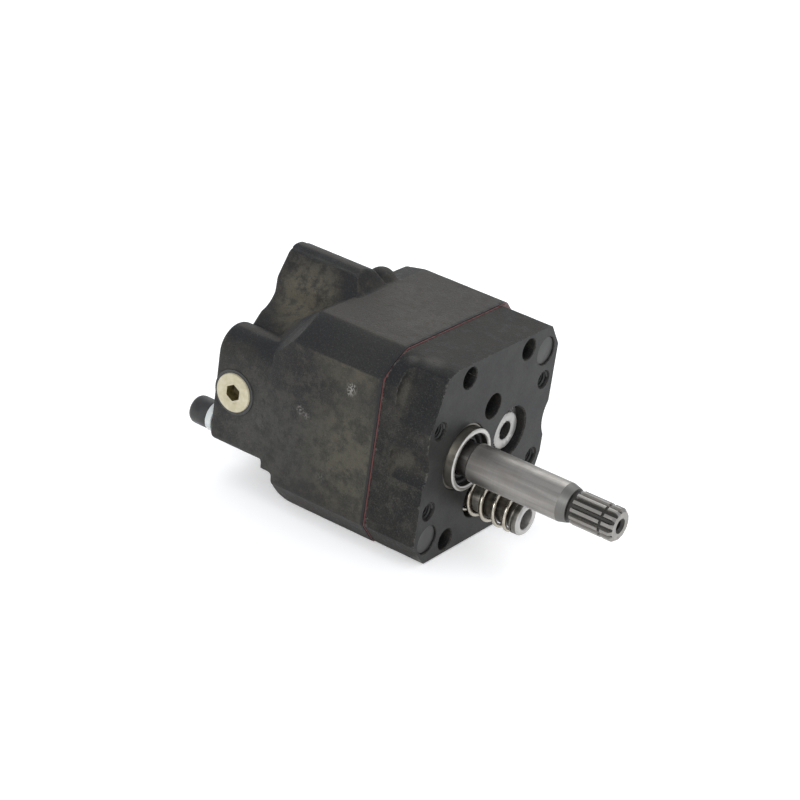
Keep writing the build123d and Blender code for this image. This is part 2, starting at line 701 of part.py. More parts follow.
def input_shaft():
    """Stepped drive shaft with a splined tip, made in one piece."""
    groove_r = 10.0
    turned = Polygon(
        (SHAFT_REAR_X, 0), (SHAFT_REAR_X, REAR_JOURNAL_R), (-112, REAR_JOURNAL_R),
        (-112, 12.0), (-110.9, 12.0), (-110.9, 10.8), (-109.3, 10.8), (-109.3, 12.0),
        (BLOCK_SPLINE_REAR_X, 12.0), (BLOCK_SPLINE_REAR_X, MID_SHAFT_R),
        (SLEEVE_REAR_X, MID_SHAFT_R), (SLEEVE_REAR_X, BEARING_JOURNAL_R),
        (-3.8, BEARING_JOURNAL_R), (-3.8, NECK_R), (9.0, NECK_R), (9.0, NECK_R + 0.6),
        (10.1, SHAFT_R), (75.5, SHAFT_R), (80.5, 11.4), (81.5, 11.0), (82.0, 9.3),
        (82.8, SPLINE_MINOR_R - 0.3), (SPLINE_START_X, SPLINE_MINOR_R - 0.3),
        (SPLINE_START_X, SPLINE_MAJOR_R), (104.6, SPLINE_MAJOR_R), (104.6, groove_r),
        (106.4, groove_r), (106.4, SPLINE_MAJOR_R), (SHAFT_TIP_X - 2, SPLINE_MAJOR_R),
        (SHAFT_TIP_X, 9.2), (SHAFT_TIP_X, 5.0), (SHAFT_TIP_X - 1.8, 3.2),
        (SHAFT_TIP_X - 12, 3.2), (SHAFT_TIP_X - 12, 0),
        align=None,
    )
    shaft = revolve(turned, Axis.X, 360)
    shaft -= spline_gaps(
        BLOCK_SPLINE_REAR_X - 1, BLOCK_SPLINE_FRONT_X,
        MID_SHAFT_R, BLOCK_SPLINE_MINOR_R, BLOCK_SPLINE_TEETH,
    )
    shaft -= spline_gaps(
        SPLINE_START_X - 1, SHAFT_TIP_X + 1, SPLINE_MAJOR_R, SPLINE_MINOR_R, SPLINE_TEETH
    )
    return shaft - brick(-30.6, -17.4, -3.02, 3.02, 9.5, 14)


def block_snap_ring():
    """Open retaining ring that holds the block spring's washer on the shaft."""
    clip = ring(-110.8, -109.4, 13.2, 10.85)
    return clip - brick(-112, -108, -2.5, 2.5, 5, 15)


def piston_places():
    """Nine piston axes as (y, z)."""
    places = []
    for i in range(PISTON_COUNT):
        a = math.radians(90 + i * 360 / PISTON_COUNT)
        places.append((PISTON_CIRCLE_R * math.cos(a), PISTON_CIRCLE_R * math.sin(a)))
    return places


def cylinder_block():
    """Bored barrel, splined to the shaft, with a kidney mouth behind each bore."""
    block = rod(BLOCK_REAR_X, BLOCK_FRONT_X, BLOCK_R)
    block -= across_x(
        spline_profile(MID_SHAFT_R, BLOCK_SPLINE_MINOR_R, BLOCK_SPLINE_TEETH, RUN_FIT),
        -105, BLOCK_FRONT_X + 1,
    )
    block -= rod(BLOCK_REAR_X - 1, -98, 16.4)
    block -= rod(-80, BLOCK_FRONT_X + 1, 16.4)
    for y, z in piston_places():
        block -= rod(-104, BLOCK_FRONT_X + 1, PISTON_R + 0.02, y, z)
        block -= rod(BLOCK_REAR_X - 1, -103, 3.2, y, z)
    groove = ring(-92, -86, BLOCK_R + 1, BLOCK_R - 1.2)
    return block - groove


def on_piston_circle(shape, index):
    """Place a shape drawn on the shaft axis at one of the nine piston axes."""
    return Rot(90 + index * 360 / PISTON_COUNT, 0, 0) * Pos(0, PISTON_CIRCLE_R, 0) * shape


def piston():
    """Hollow piston with a ball end, on the shaft axis."""
    body = rod(-100, -67, PISTON_R)
    body += cone(-67, -64.5, PISTON_R, 2.9)
    body += rod(-65, BALL_X, 2.6)
    body += Pos(BALL_X, 0, 0) * Rot(0, 90, 0) * Sphere(BALL_R)
    body -= rod(-101, -72, 3.4)
    return body - rod(-73, BALL_X + BALL_R + 1, 0.6)


def slipper():
    """Slipper shoe swaged round a piston ball, on the shaft axis."""
    shoe = rod(-56.6, SWASH_FACE_X - 0.05, 7.2)
    shoe += rod(-62.5, -56.6, 5.8)
    shoe -= Pos(BALL_X, 0, 0) * Rot(0, 90, 0) * Sphere(BALL_R + 0.03)
    shoe -= rod(-64, BALL_X, 3.2)
    shoe -= ring(-54.6, SWASH_FACE_X + 1, 5.4, 4.6)
    return shoe - rod(-58, SWASH_FACE_X + 1, 0.6)


def retainer_plate():
    """Plate that holds the nine slippers against the swashplate."""
    plate = rod(-58.4, -56.8, 31.4)
    plate -= rod(-60, -55, 13.8)
    for y, z in piston_places():
        plate -= rod(-60, -55, 5.95, y, z)
    return plate


def retainer_ball():
    """Spherical guide on the shaft that presses the retainer plate."""
    dome = Pos(-66, 0, 0) * Sphere(16.2)
    dome = dome & rod(-68, -58.5, 17)
    return dome - rod(-69, -50, 13.05)


def block_spring():
    """Spring between the block and the retainer ball's pins."""
    return coil(-79.8, -68.3, 14.75, 1.0, 3)


def valve_plate():
    """Port plate with a suction and a pressure kidney."""
    plate = rod(CHAMBER_REAR_X, CHAMBER_REAR_X + VALVE_PLATE_T - 0.05, BLOCK_R)
    plate -= rod(CHAMBER_REAR_X - 1, BLOCK_REAR_X + 1, 15.0)
    plate -= kidney(CHAMBER_REAR_X - 1, BLOCK_REAR_X + 1, 90, 52, 6.4)
    plate -= kidney(CHAMBER_REAR_X - 1, BLOCK_REAR_X + 1, 270, 58, 7.0)
    return plate


# ===========================================================================
# Swashplate and its control
# ===========================================================================
def swashplate():
    """Disc on two trunnions, standing square to the shaft at zero stroke."""
    plate = rod(SWASH_FACE_X, SWASH_FACE_X + SWASH_T, SWASH_R)
    for s in (1, -1):
        z0, z1 = sorted((s * 20.0, s * 33.5))
        plate += brick(SWASH_FACE_X, SWASH_FACE_X + 12, -11, 11, z0, z1)
    plate -= rod(SWASH_FACE_X - 1, SWASH_FACE_X + 14, SWASH_HOLE_R)
    for s in (1, -1):
        z0, z1 = sorted((s * 24.0, s * 36.0))
        plate -= upright(z0, z1, TRUNNION_R - 2, TRUNNION_X, 0)
    return plate


def trunnion_pins():
    """Lower pin, and upper pin that carries the control arm."""
    pins = []
    for s, end_z in ((1, ARM_TOP_Z), (-1, 45.5)):
        z0, z1 = sorted((s * 34.0, s * end_z))
        pin = upright(z0, z1, TRUNNION_R, TRUNNION_X, 0)
        z0, z1 = sorted((s * 24.5, s * 34.0))
        pins.append(pin + upright(z0, z1, TRUNNION_R - 2.02, TRUNNION_X, 0))
    return Compound(pins)


def trunnion_bushes():
    """Two plain bushes of the swashplate's trunnions."""
    bushes = []
    for s in (1, -1):
        z0, z1 = sorted((s * 37.0, s * 43.8))
        bush = upright(z0, z1, BUSH_R - 0.01, TRUNNION_X, 0)
        bushes.append(bush - upright(z0 - 1, z1 + 1, TRUNNION_R + RUN_FIT, TRUNNION_X, 0))
    return Compound(bushes)


def control_arm():
    """Arm clamped on the upper trunnion, with a ball at the control axis."""
    arm = upright(ARM_LOW_Z, ARM_TOP_Z, 9.0, TRUNNION_X, 0)
    arm += brick(TRUNNION_X - 4, TRUNNION_X + 4, 4, CONTROL_Y + 4, ARM_LOW_Z, ARM_TOP_Z)
    arm += Pos(TRUNNION_X, CONTROL_Y, CONTROL_Z) * Sphere(BALL_END_R)
    return arm - upright(ARM_LOW_Z - 1, ARM_TOP_Z + 1, TRUNNION_R + 0.02, TRUNNION_X, 0)


def control_piston():
    """Control piston that pushes the arm's ball."""
    rod_end = TRUNNION_X - BALL_END_R - 0.05
    plunger = rod(-118, -80, CONTROL_R, CONTROL_Y, CONTROL_Z)
    plunger += rod(-80, rod_end, 5.0, CONTROL_Y, CONTROL_Z)
    return plunger - rod(-119, -90, 5.5, CONTROL_Y, CONTROL_Z)


def bias_spring_guide():
    """Cup between the arm's ball and the bias spring."""
    cup = rod(TRUNNION_X + BALL_END_R + 0.05, BIAS_SEAT_X, 7.0, CONTROL_Y, CONTROL_Z)
    return cup + rod(BIAS_SEAT_X, -30, 3.6, CONTROL_Y, CONTROL_Z)


def bias_spring():
    """Spring that swings the swashplate towards full stroke."""
    return coil(BIAS_SEAT_X + 0.05, -14.1, 5.6, 1.1, 6, CONTROL_Y, CONTROL_Z)


def control_bore_plug():
    """Socket plug that closes the control bore at the rear."""
    plug = rod(HOUSING_REAR_X - 2, HOUSING_REAR_X + 11.9, CONTROL_R + 1.99, CONTROL_Y, CONTROL_Z)
    return plug - hex_socket(HOUSING_REAR_X - 2, 7, 10.0, CONTROL_Y, CONTROL_Z, 1)


# ===========================================================================
# Compensator and side plug
# ===========================================================================
def compensator_spool():
    """Grooved spool that meters oil to the control piston."""
    spool = rod(-143, -130, 4.0, COMP_Y, COMP_Z)
    spool -= ring(-140, -136.5, 5, 2.6, COMP_Y, COMP_Z)
    spool += rod(-146.5, -143, 2.2, COMP_Y, COMP_Z)
    return spool


def compensator_spring_seat():
    """Seat between the spool's stem and its spring."""
    seat = rod(-149.2, -146.6, 6.8, COMP_Y, COMP_Z)
    return seat + rod(-153, -149.2, 3.0, COMP_Y, COMP_Z)


def compensator_spring():
    """Pressure-setting spring."""
    return coil(-163.8, -149.3, 5.2, 1.0, 5, COMP_Y, COMP_Z)


def adjuster_body():
    """Closed nut screwed into the spring chamber; sets the spring."""
    body = rod(-185, COLLAR_END_X - 0.1, 9.5, COMP_Y, COMP_Z)
    tip = body.edges().sort_by(Axis.X)[0]
    body = fillet(tip, 4.5)
    body += rod(COLLAR_END_X - 0.1, -164, 7.45, COMP_Y, COMP_Z)
    return body


def nylon_washer():
    """White sealing collar under the adjuster."""
    collar = ring(COLLAR_END_X, HOUSING_REAR_X, 9.9, 7.5, COMP_Y, COMP_Z)
    rims = collar.edges().filter_by(GeomType.CIRCLE).sort_by(SortBy.RADIUS)[-2:]
    return fillet(rims, 1.2)


def side_plug():
    """Zinc-plated collar plug with a hex socket, in the side of the housing."""
    face_y = SIDE_WALL_Y - 1.6
    plug = across(face_y, SIDE_WALL_Y + 1.2, SIDE_PLUG_COLLAR_R, SIDE_PLUG_X, SIDE_PLUG_Z)
    rim = plug.edges().sort_by(Axis.Y)[0]
    plug = fillet(rim, 0.9)
    plug += across(SIDE_WALL_Y + 1.2, -31, 8.98, SIDE_PLUG_X, SIDE_PLUG_Z)
    socket = Pos(SIDE_PLUG_X, SIDE_PLUG_Z) * RegularPolygon(5.8, 6)
    return plug - across_y(socket, face_y, face_y + 8)


def side_plug_seal():
    """Rubber ring in the spot face round the plug's collar."""
    low, high = SIDE_WALL_Y, SIDE_WALL_Y + 1.2
    outer = across(low, high, SPOT_FACE_R - 0.05, SIDE_PLUG_X, SIDE_PLUG_Z)
    inner = across(low - 1, high + 1, SIDE_PLUG_COLLAR_R + 0.02, SIDE_PLUG_X, SIDE_PLUG_Z)
    return outer - inner


# ===========================================================================
# Relief valve
# ===========================================================================
def relief_plunger():
    """Hollow plunger with a head that holds the spring."""
    body = rod(-13, RELIEF_HEAD_X, RELIEF_STEM_R, RELIEF_Y, RELIEF_Z)
    head = rod(RELIEF_HEAD_X, RELIEF_TIP_X, RELIEF_HEAD_R, RELIEF_Y, RELIEF_Z)
    head = chamfer(head.edges().filter_by(GeomType.CIRCLE).sort_by(Axis.X)[-1], 0.8)
    body += head
    body -= rod(2, RELIEF_TIP_X + 1, RELIEF_HOLE_R, RELIEF_Y, RELIEF_Z)
    mouth_r = RELIEF_HOLE_R + 0.8
    body -= cone(RELIEF_TIP_X - 0.8, RELIEF_TIP_X, RELIEF_HOLE_R, mouth_r, RELIEF_Y, RELIEF_Z)
    body -= upright(RELIEF_Z - 12, RELIEF_Z + 12, 2.2, 8, RELIEF_Y)
    return body


def relief_spring():
    """Relief spring round the plunger's stem."""
    low = RELIEF_SEAT_X + 0.05 + RELIEF_WIRE_R
    high = RELIEF_HEAD_X - 0.05 - RELIEF_WIRE_R
    closed = RELIEF_CLOSED_TURNS
    open_end = closed + RELIEF_OPEN_TURNS
    lift = 2 * RELIEF_WIRE_R + 0.25
    knots = [
        (0, low), (closed, low + closed * lift),
        (open_end, high - closed * lift), (open_end + closed, high),
    ]
    places = []
    for i in range(int(knots[-1][0] * 12) + 1):
        turn = i / 12
        start, end = next(
            pair for pair in zip(knots, knots[1:]) if turn <= pair[1][0] + 1e-6
        )
        share = (turn - start[0]) / (end[0] - start[0])
        angle = 2 * math.pi * turn
        places.append((
            start[1] + share * (end[1] - start[1]),
            RELIEF_Y + RELIEF_COIL_R * math.cos(angle),
            RELIEF_Z + RELIEF_COIL_R * math.sin(angle),
        ))
    path = Spline(*places)
    section = Plane(origin=path @ 0, z_dir=path % 0) * Circle(RELIEF_WIRE_R)
    return sweep(section, path=path, is_frenet=True)


# ===========================================================================
# Write one STEP file per piece
# ===========================================================================
NODES = {
    "main_housing": main_housing,
    "front_plate": front_plate,
    "housing_gasket": housing_gasket,
    "housing_bolts": housing_bolts,
    "core_plugs": core_plugs,
    "dowel_pins": dowel_pins,
    "partition_plate": partition_plate,
    "front_bearing_sleeve": front_bearing_sleeve,
    "front_needle_bearing": front_needle_bearing,
    "idler_needle_bearing": idler_needle_bearing,
    "rear_needle_bearing": rear_needle_bearing,
    "shaft_seal": shaft_seal,
    "charge_drive_gear": charge_drive_gear,
    "gear_key": gear_key,
    "charge_idler_gear": charge_idler_gear,
    "input_shaft": input_shaft,
    "block_snap_ring": block_snap_ring,
    "cylinder_block": cylinder_block,
    "retainer_plate": retainer_plate,
    "retainer_ball": retainer_ball,
    "block_spring": block_spring,
    "valve_plate": valve_plate,
    "swashplate": swashplate,
    "trunnion_pins": trunnion_pins,
    "trunnion_bushes": trunnion_bushes,
    "control_arm": control_arm,
    "control_piston": control_piston,
    "bias_spring_guide": bias_spring_guide,
    "bias_spring": bias_spring,
    "control_bore_plug": control_bore_plug,
    "compensator_spool": compensator_spool,
    "compensator_spring_seat": compensator_spring_seat,
    "compensator_spring": compensator_spring,
    "adjuster_body": adjuster_body,
    "nylon_washer": nylon_washer,
    "side_plug": side_plug,
    "side_plug_seal": side_plug_seal,
    "relief_plunger": relief_plunger,
    "relief_spring": relief_spring,
}


def write_parts():
    """Build every piece and export it under its node name."""
    os.makedirs("parts", exist_ok=True)
    for name, build in NODES.items():
        export_step(build(), f"parts/{name}.step")
    one_piston = piston()
    one_slipper = slipper()
    for i in range(PISTON_COUNT):
        export_step(on_piston_circle(one_piston, i), f"parts/piston_{i + 1}.step")
        export_step(on_piston_circle(one_slipper, i), f"parts/slipper_{i + 1}.step")


if __name__ == "__main__":
    write_parts()
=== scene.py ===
"""Looks of a variable axial piston pump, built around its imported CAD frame."""

import json
import logging
import math
from dataclasses import dataclass
from enum import Enum
from typing import Callable, Sequence

import bpy
from mathutils import Matrix, Vector


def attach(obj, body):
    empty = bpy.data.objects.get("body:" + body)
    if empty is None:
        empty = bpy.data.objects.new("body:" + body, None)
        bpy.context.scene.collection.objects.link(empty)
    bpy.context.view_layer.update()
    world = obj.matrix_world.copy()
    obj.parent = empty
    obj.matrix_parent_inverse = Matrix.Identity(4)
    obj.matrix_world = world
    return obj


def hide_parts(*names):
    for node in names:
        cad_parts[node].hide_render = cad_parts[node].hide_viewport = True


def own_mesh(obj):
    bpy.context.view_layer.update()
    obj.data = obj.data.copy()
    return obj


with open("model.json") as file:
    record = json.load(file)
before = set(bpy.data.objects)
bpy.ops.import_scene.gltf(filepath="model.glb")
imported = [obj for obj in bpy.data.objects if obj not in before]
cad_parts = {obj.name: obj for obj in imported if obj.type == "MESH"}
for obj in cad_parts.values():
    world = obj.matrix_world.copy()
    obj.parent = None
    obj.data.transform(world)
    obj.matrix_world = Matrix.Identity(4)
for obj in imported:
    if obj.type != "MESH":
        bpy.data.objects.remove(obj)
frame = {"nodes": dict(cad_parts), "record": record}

MM = 0.001
MERGE = 0.000002
SAME_PLACE = 0.00002
UP: tuple[float, float, float] = (0.0, 0.0, 1.0)
FORWARD: tuple[float, float, float] = (1.0, 0.0, 0.0)
log = logging.getLogger("pump")

Colour = tuple[float, float, float]
Place = tuple[float, float, float]
Station = tuple[float, float]
Socket = bpy.types.NodeSocket
Thing = bpy.types.Object
Face = bpy.types.MeshPolygon


class Body(Enum):
    """The rigid bodies that finished pieces ride on."""

    CASING = "casing"
    ROTATING = "rotating_group"
    IDLER = "charge_idler"
    RELIEF = "relief_valve"


class Turned(Enum):
    """The way a turned piece's axis lies."""

    ALONG_X = (0.0, 0.0, 0.0)
    ALONG_MINUS_Y = (0.0, 0.0, -math.pi / 2)


class Cut(Enum):
    """What a second shape does to the first."""

    AWAY = "DIFFERENCE"
    KEEP = "INTERSECT"


# Node trees
class NodeSheet:
    """One material's node tree, with short calls for the nodes that finishes share."""

    def __init__(self, name: str) -> None:
        """Start a material.

        Args:
            name: The material's name.
        """
        self.material = bpy.data.materials.new(name)
        self.material.use_nodes = True
        self.tree = self.material.node_tree
        self.shader = self.tree.nodes["Principled BSDF"]
        self.place = self.tree.nodes.new("ShaderNodeTexCoord").outputs["Object"]

    def feed(self, socket: Socket, value: object) -> None:
        """Link a socket, or set its own value.

        Args:
            socket: The input to feed.
            value: Another node's output, a number or a colour.
        """
        if isinstance(value, bpy.types.NodeSocket):
            self.tree.links.new(value, socket)
        elif isinstance(value, tuple) and len(value) == 3 and socket.type == "RGBA":
            socket.default_value = (*value, 1.0)
        else:
            socket.default_value = value

    def node(self, kind: str, feeds: dict[str | int, object], **settings: object) -> bpy.types.Node:
        """Add a node.

        Args:
            kind: The node's type.
            feeds: Input name or number to its value or link.
            settings: The node's own properties.

        Returns:
            The new node.
        """
        made = self.tree.nodes.new(kind)
        for key, value in settings.items():
            setattr(made, key, value)
        for key, value in feeds.items():
            self.feed(made.inputs[key], value)
        return made

    def stretched(self, scale: Place) -> Socket:
        """Object coordinates scaled along each axis, for a pattern with a grain."""
        return self.node("ShaderNodeMapping", {"Vector": self.place, "Scale": scale}).outputs[0]

    def noise(self, scale: float, detail: float = 3.0, rough: float = 0.55,
              vector: Socket | None = None) -> Socket:
        """Noise, as its factor output.

        Args:
            scale: Cells per metre.
            detail: Octaves.
            rough: Strength of the finer octaves.
            vector: Coordinates, or None for plain object coordinates.

        Returns:
            The factor socket.
        """
        feeds = {"Vector": vector or self.place, "Scale": scale, "Detail": detail,
                 "Roughness": rough}
        return self.node("ShaderNodeTexNoise", feeds).outputs["Fac"]

    def span(self, value: object, low: float, high: float, to_low: float = 0.0,
             to_high: float = 1.0) -> Socket:
        """Map a value smoothly from one range to another.

        Args:
            value: What to map.
            low: Input that gives to_low.
            high: Input that gives to_high.
            to_low: Output at low.
            to_high: Output at high.

        Returns:
            The mapped socket.
        """
        feeds = {"Value": value, "From Min": low, "From Max": high, "To Min": to_low,
                 "To Max": to_high}
        return self.node("ShaderNodeMapRange", feeds, interpolation_type="SMOOTHSTEP").outputs[0]

    def maths(self, operation: str, a: object, b: object) -> Socket:
        """One math node's output."""
        return self.node("ShaderNodeMath", {0: a, 1: b}, operation=operation).outputs[0]

    def times(self, a: object, b: object) -> Socket:
        """The product of two values."""
        return self.maths("MULTIPLY", a, b)

    def between(self, factor: Socket, a: Socket, b: Socket) -> Socket:
        """Value a where factor is 0 and b where it is 1."""
        back = self.times(a, self.maths("SUBTRACT", 1.0, factor))
        return self.maths("ADD", back, self.times(b, factor))

    def mix(self, factor: object, under: object, over: object, kind: str = "RGBA") -> Socket:
        """Blend two colours or directions.

        Args:
            factor: 0 for under, 1 for over.
            under: Value or socket.
            over: Value or socket.
            kind: RGBA for colours, VECTOR for directions.

        Returns:
            The blended socket.
        """
        made = self.node("ShaderNodeMix", {}, data_type=kind)
        pair = [s for s in made.inputs if s.type == kind][-2:]
        self.feed(made.inputs["Factor"], factor)
        self.feed(pair[0], under)
        self.feed(pair[1], over)
        return [s for s in made.outputs if s.type == kind][0]

    def axis(self, letter: str) -> Socket:
        """One object coordinate, X, Y or Z."""
        return self.node("ShaderNodeSeparateXYZ", {0: self.place}).outputs[letter]

    def facing(self, direction: Place) -> Socket:
        """How far the surface faces a direction, as the dot product with its normal."""
        feeds = {0: self.surface("Normal"), 1: direction}
        made = self.node("ShaderNodeVectorMath", feeds, operation="DOT_PRODUCT")
        return made.outputs["Value"]

    def surface(self, value: str) -> Socket:
        """One value of the surface itself, such as Normal or Pointiness."""
        return self.node("ShaderNodeNewGeometry", {}).outputs[value]

    def edges(self, low: float, high: float) -> Socket:
        """Mask of convex edges, from the surface's pointiness."""
        return self.span(self.surface("Pointiness"), low, high)

    def near(self, centre: Place, radius: float) -> Socket:
        """Soft ball mask round a place in the object."""
        away = self.node("ShaderNodeVectorMath", {0: self.place, 1: centre}, operation="DISTANCE")
        return self.span(away.outputs["Value"], radius, radius * 0.25)

    def bump(self, height: Socket, distance: float, strength: float = 1.0,
             under: Socket | None = None) -> Socket:
        """Bumped normal.

        Args:
            height: Height from 0 to 1.
            distance: Height of 1, in metres.
            strength: Share of the effect.
            under: A normal to bump further.

        Returns:
            The normal socket.
        """
        feeds: dict[str | int, object] = {"Height": height, "Distance": distance,
                                          "Strength": strength}
        if under is not None:
            feeds["Normal"] = under
        return self.node("ShaderNodeBump", feeds).outputs[0]

    def done(self, **inputs: object) -> bpy.types.Material:
        """Feed the shader and give the material.

        Args:
            inputs: Shader inputs, with underscores for spaces.

        Returns:
            The finished material.
        """
        for key, value in inputs.items():
            self.feed(self.shader.inputs[key.replace("_", " ")], value)
        return self.material


# Finishes
def dimmed(colour: Colour, share: float) -> Colour:
    """A colour brought down to a share of itself."""
    return tuple(part * share for part in colour)


@dataclass(frozen=True)
class ColourPatch:
    """A soft patch of another colour on a casting, for a real mark, for painted light and for
    painted shade.
    """

    centre: Place
    radius: float
    colour: Colour
    strength: float


@dataclass(frozen=True)
class CastFinish:
    """Dark oxide on a sand casting: mottled, dusty and with painted light on top, with painted
    shade on its crowns, near shoulder and joint, rubbed on its edges.
    """

    name: str
    dark: Colour = (0.0085, 0.0085, 0.0085)
    pale: Colour = (0.0185, 0.018, 0.0163)
    # Dusty colour, also used as painted light on upward faces.
    dust_and_top_light: Colour = (0.046, 0.042, 0.036)
    dust_and_light_on_top: float = 0.9
    rubbed: Colour = (0.13, 0.125, 0.115)
    shaded: Colour = (0.0105, 0.0112, 0.0125)
    shaded_share: float = 0.85
    shaded_from_x: float = -0.122
    broad_scale: float = 26.0
    mottle_scale: float = 150.0
    sand_scale: float = 620.0
    speck_scale: float = 700.0
    grain_scale: float = 1500.0
    sand_height: float = 0.00045
    grain_height: float = 0.00022
    # Painted shadow along the joint: strength and reach of the dark band.
    joint_shadow_share: float = 0.8
    joint_shadow_reach: tuple[float, float] = (0.0026, 0.0012)
    crown_way: Place = (0.0, -0.4, 0.92)
    shoulder_way: Place = (-0.1, -0.72, 0.69)
    speck: Colour = (0.16, 0.152, 0.136)
    pore: Colour = (0.005, 0.005, 0.005)
    milled: tuple[Colour, Colour] = ((0.019, 0.019, 0.019), (0.028, 0.028, 0.027))
    milled_grit: Colour = (0.08, 0.08, 0.078)
    joint_x: float | None = None
    gloss: float = 0.24
    small_patch: float = 0.006
    patches: tuple[ColourPatch, ...] = ()
    machined_x: float | None = None

    def build(self) -> bpy.types.Material:
        """Make the material."""
        sheet = NodeSheet(self.name)
        mottle = sheet.noise(self.mottle_scale, 6.0, 0.68)
        grain = sheet.noise(self.grain_scale, 3.0, 0.6)
        sand = sheet.noise(self.sand_scale, 4.0, 0.6)
        colour = self.scale_skin(sheet, mottle)
        colour = self.patched(sheet, colour, mottle, sand)
        colour = self.shade_and_dust_by_facing(sheet, colour, mottle)
        colour = self.grained(sheet, colour, grain, sand)
        # Painted shadow: a dark band on the housing along the joint, where the lip throws its
        # shadow.
        if self.joint_x is not None:
            far, near = (self.joint_x - reach for reach in self.joint_shadow_reach)
            oil_and_joint_shadow = sheet.times(sheet.span(sheet.axis("X"), far, near), self.joint_shadow_share)
            colour = sheet.mix(oil_and_joint_shadow, colour, self.shaded)
        rough = sheet.span(mottle, 0.3, 0.7, 0.50, 0.74)
        normal = sheet.bump(sand, self.sand_height, 0.7)
        normal = sheet.bump(grain, self.grain_height, 0.8, normal)
        if self.machined_x is not None:
            flat = sheet.span(sheet.facing(FORWARD), 0.985, 0.998)
            front = sheet.span(sheet.axis("X"), self.machined_x - 0.0002, self.machined_x - 0.0001)
            face = sheet.times(flat, front)
            colour = sheet.mix(face, colour, self.machined_colour(sheet))
            rough = sheet.between(face, rough, sheet.span(sand, 0.3, 0.7, 0.36, 0.46))
            level = sheet.mix(face, normal, sheet.surface("Normal"), "VECTOR")
            normal = sheet.bump(sheet.times(sand, face), 0.00005, 0.3, level)
        return sheet.done(Base_Color=colour, Roughness=rough, Normal=normal, Metallic=0.0,
                          Specular_IOR_Level=self.gloss)

    def scale_skin(self, sheet: NodeSheet, mottle: Socket) -> Socket:
        """The cloudy oxide itself, with painted shade, bluer, on the crowns behind the block.

        Args:
            sheet: The node tree to add to.
            mottle: Noise of middle size.

        Returns:
            The colour socket.
        """
        broad = sheet.noise(self.broad_scale, 3.0, 0.6)
        colour = sheet.mix(sheet.span(broad, 0.36, 0.64), self.dark, self.pale)
        colour = sheet.mix(sheet.span(mottle, 0.44, 0.66, 0.0, 0.7), colour, self.dust_and_top_light)
        # Painted shade: crowns that face up and to the near side, behind the block, take the shaded
        # colour.
        crown = sheet.span(sheet.facing(self.crown_way), 0.88, 0.96, 0.0, self.shaded_share)
        behind = sheet.span(sheet.axis("X"), self.shaded_from_x, self.shaded_from_x - 0.008)
        return sheet.mix(sheet.times(crown, behind), colour, self.shaded)

    def patched(self, sheet: NodeSheet, colour: Socket, mottle: Socket, sand: Socket) -> Socket:
        """Lay the colour patches over a colour, the small ones with ragged edges. Some patches are
        painted light and some painted shade.

        Args:
            sheet: The node tree to add to.
            colour: The colour so far.
            mottle: Noise of middle size.
            sand: Finer noise.

        Returns:
            The colour socket.
        """
        for patch in self.patches:
            if patch.radius < self.small_patch:
                ragged = sheet.span(sand, 0.44, 0.60)
            else:
                ragged = sheet.span(mottle, 0.30, 0.62, 0.15, 1.0)
            mask = sheet.times(sheet.near(patch.centre, patch.radius), ragged)
            colour = sheet.mix(sheet.times(mask, patch.strength), colour, patch.colour)
        return colour

    def shade_and_dust_by_facing(self, sheet: NodeSheet, colour: Socket, mottle: Socket) -> Socket:
        """Painted shade on the near shoulder, and a dusty colour with painted light on the flat
        top.

        Args:
            sheet: The node tree to add to.
            colour: The colour so far.
            mottle: Noise of middle size.

        Returns:
            The colour socket.
        """
        # Painted shade: the shoulder that faces up and towards the near side is darkened.
        shoulder = sheet.span(sheet.facing(self.shoulder_way), 0.80, 0.97, 0.0, self.shaded_share)
        shoulder_shade = sheet.times(shoulder, sheet.span(mottle, 0.20, 0.50, 0.55, 1.0))
        reach = sheet.span(sheet.axis("X"), self.shaded_from_x, self.shaded_from_x + 0.012)
        colour = sheet.mix(sheet.times(shoulder_shade, reach), colour, self.shaded)
        # Upward faces take the dusty colour: partly real dirt, partly painted light on the top.
        upward = sheet.span(sheet.facing(UP), 0.965, 0.998, 0.0, self.dust_and_light_on_top)
        top_dust_and_light = sheet.times(upward, sheet.span(mottle, 0.28, 0.60, 0.35, 1.0))
        return sheet.mix(top_dust_and_light, colour, self.dust_and_top_light)

    def grained(self, sheet: NodeSheet, colour: Socket, grain: Socket, sand: Socket) -> Socket:
        """Rubbed grains, pale specks, dark pores and scuffed edges.

        Args:
            sheet: The node tree to add to.
            colour: The colour so far.
            grain: The finest noise.
            sand: The next finer noise.

        Returns:
            The colour socket.
        """
        colour = sheet.mix(sheet.span(grain, 0.52, 0.78, 0.0, 0.34), colour, self.rubbed)
        specks = sheet.span(sheet.noise(self.speck_scale, 2.0, 0.5), 0.74, 0.82, 0.0, 0.12)
        colour = sheet.mix(specks, colour, self.speck)
        colour = sheet.mix(sheet.span(grain, 0.44, 0.28, 0.0, 0.65), colour, self.pore)
        scuffs = sheet.times(sheet.edges(0.515, 0.56), sheet.span(sand, 0.42, 0.62))
        return sheet.mix(sheet.times(scuffs, 0.6), colour, self.rubbed)

    def machined_colour(self, sheet: NodeSheet) -> Socket:
        """Colour of the milled and blackened front face.

        Args:
            sheet: The node tree to add to.

        Returns:
            The colour socket.
        """
        haze = sheet.noise(45.0, 4.0, 0.6)
        fine = sheet.noise(2600.0, 2.0, 0.5)
        colour = sheet.mix(sheet.span(haze, 0.35, 0.65), *self.milled)
        return sheet.mix(sheet.span(fine, 0.55, 0.75, 0.0, 0.3), colour, self.milled_grit)


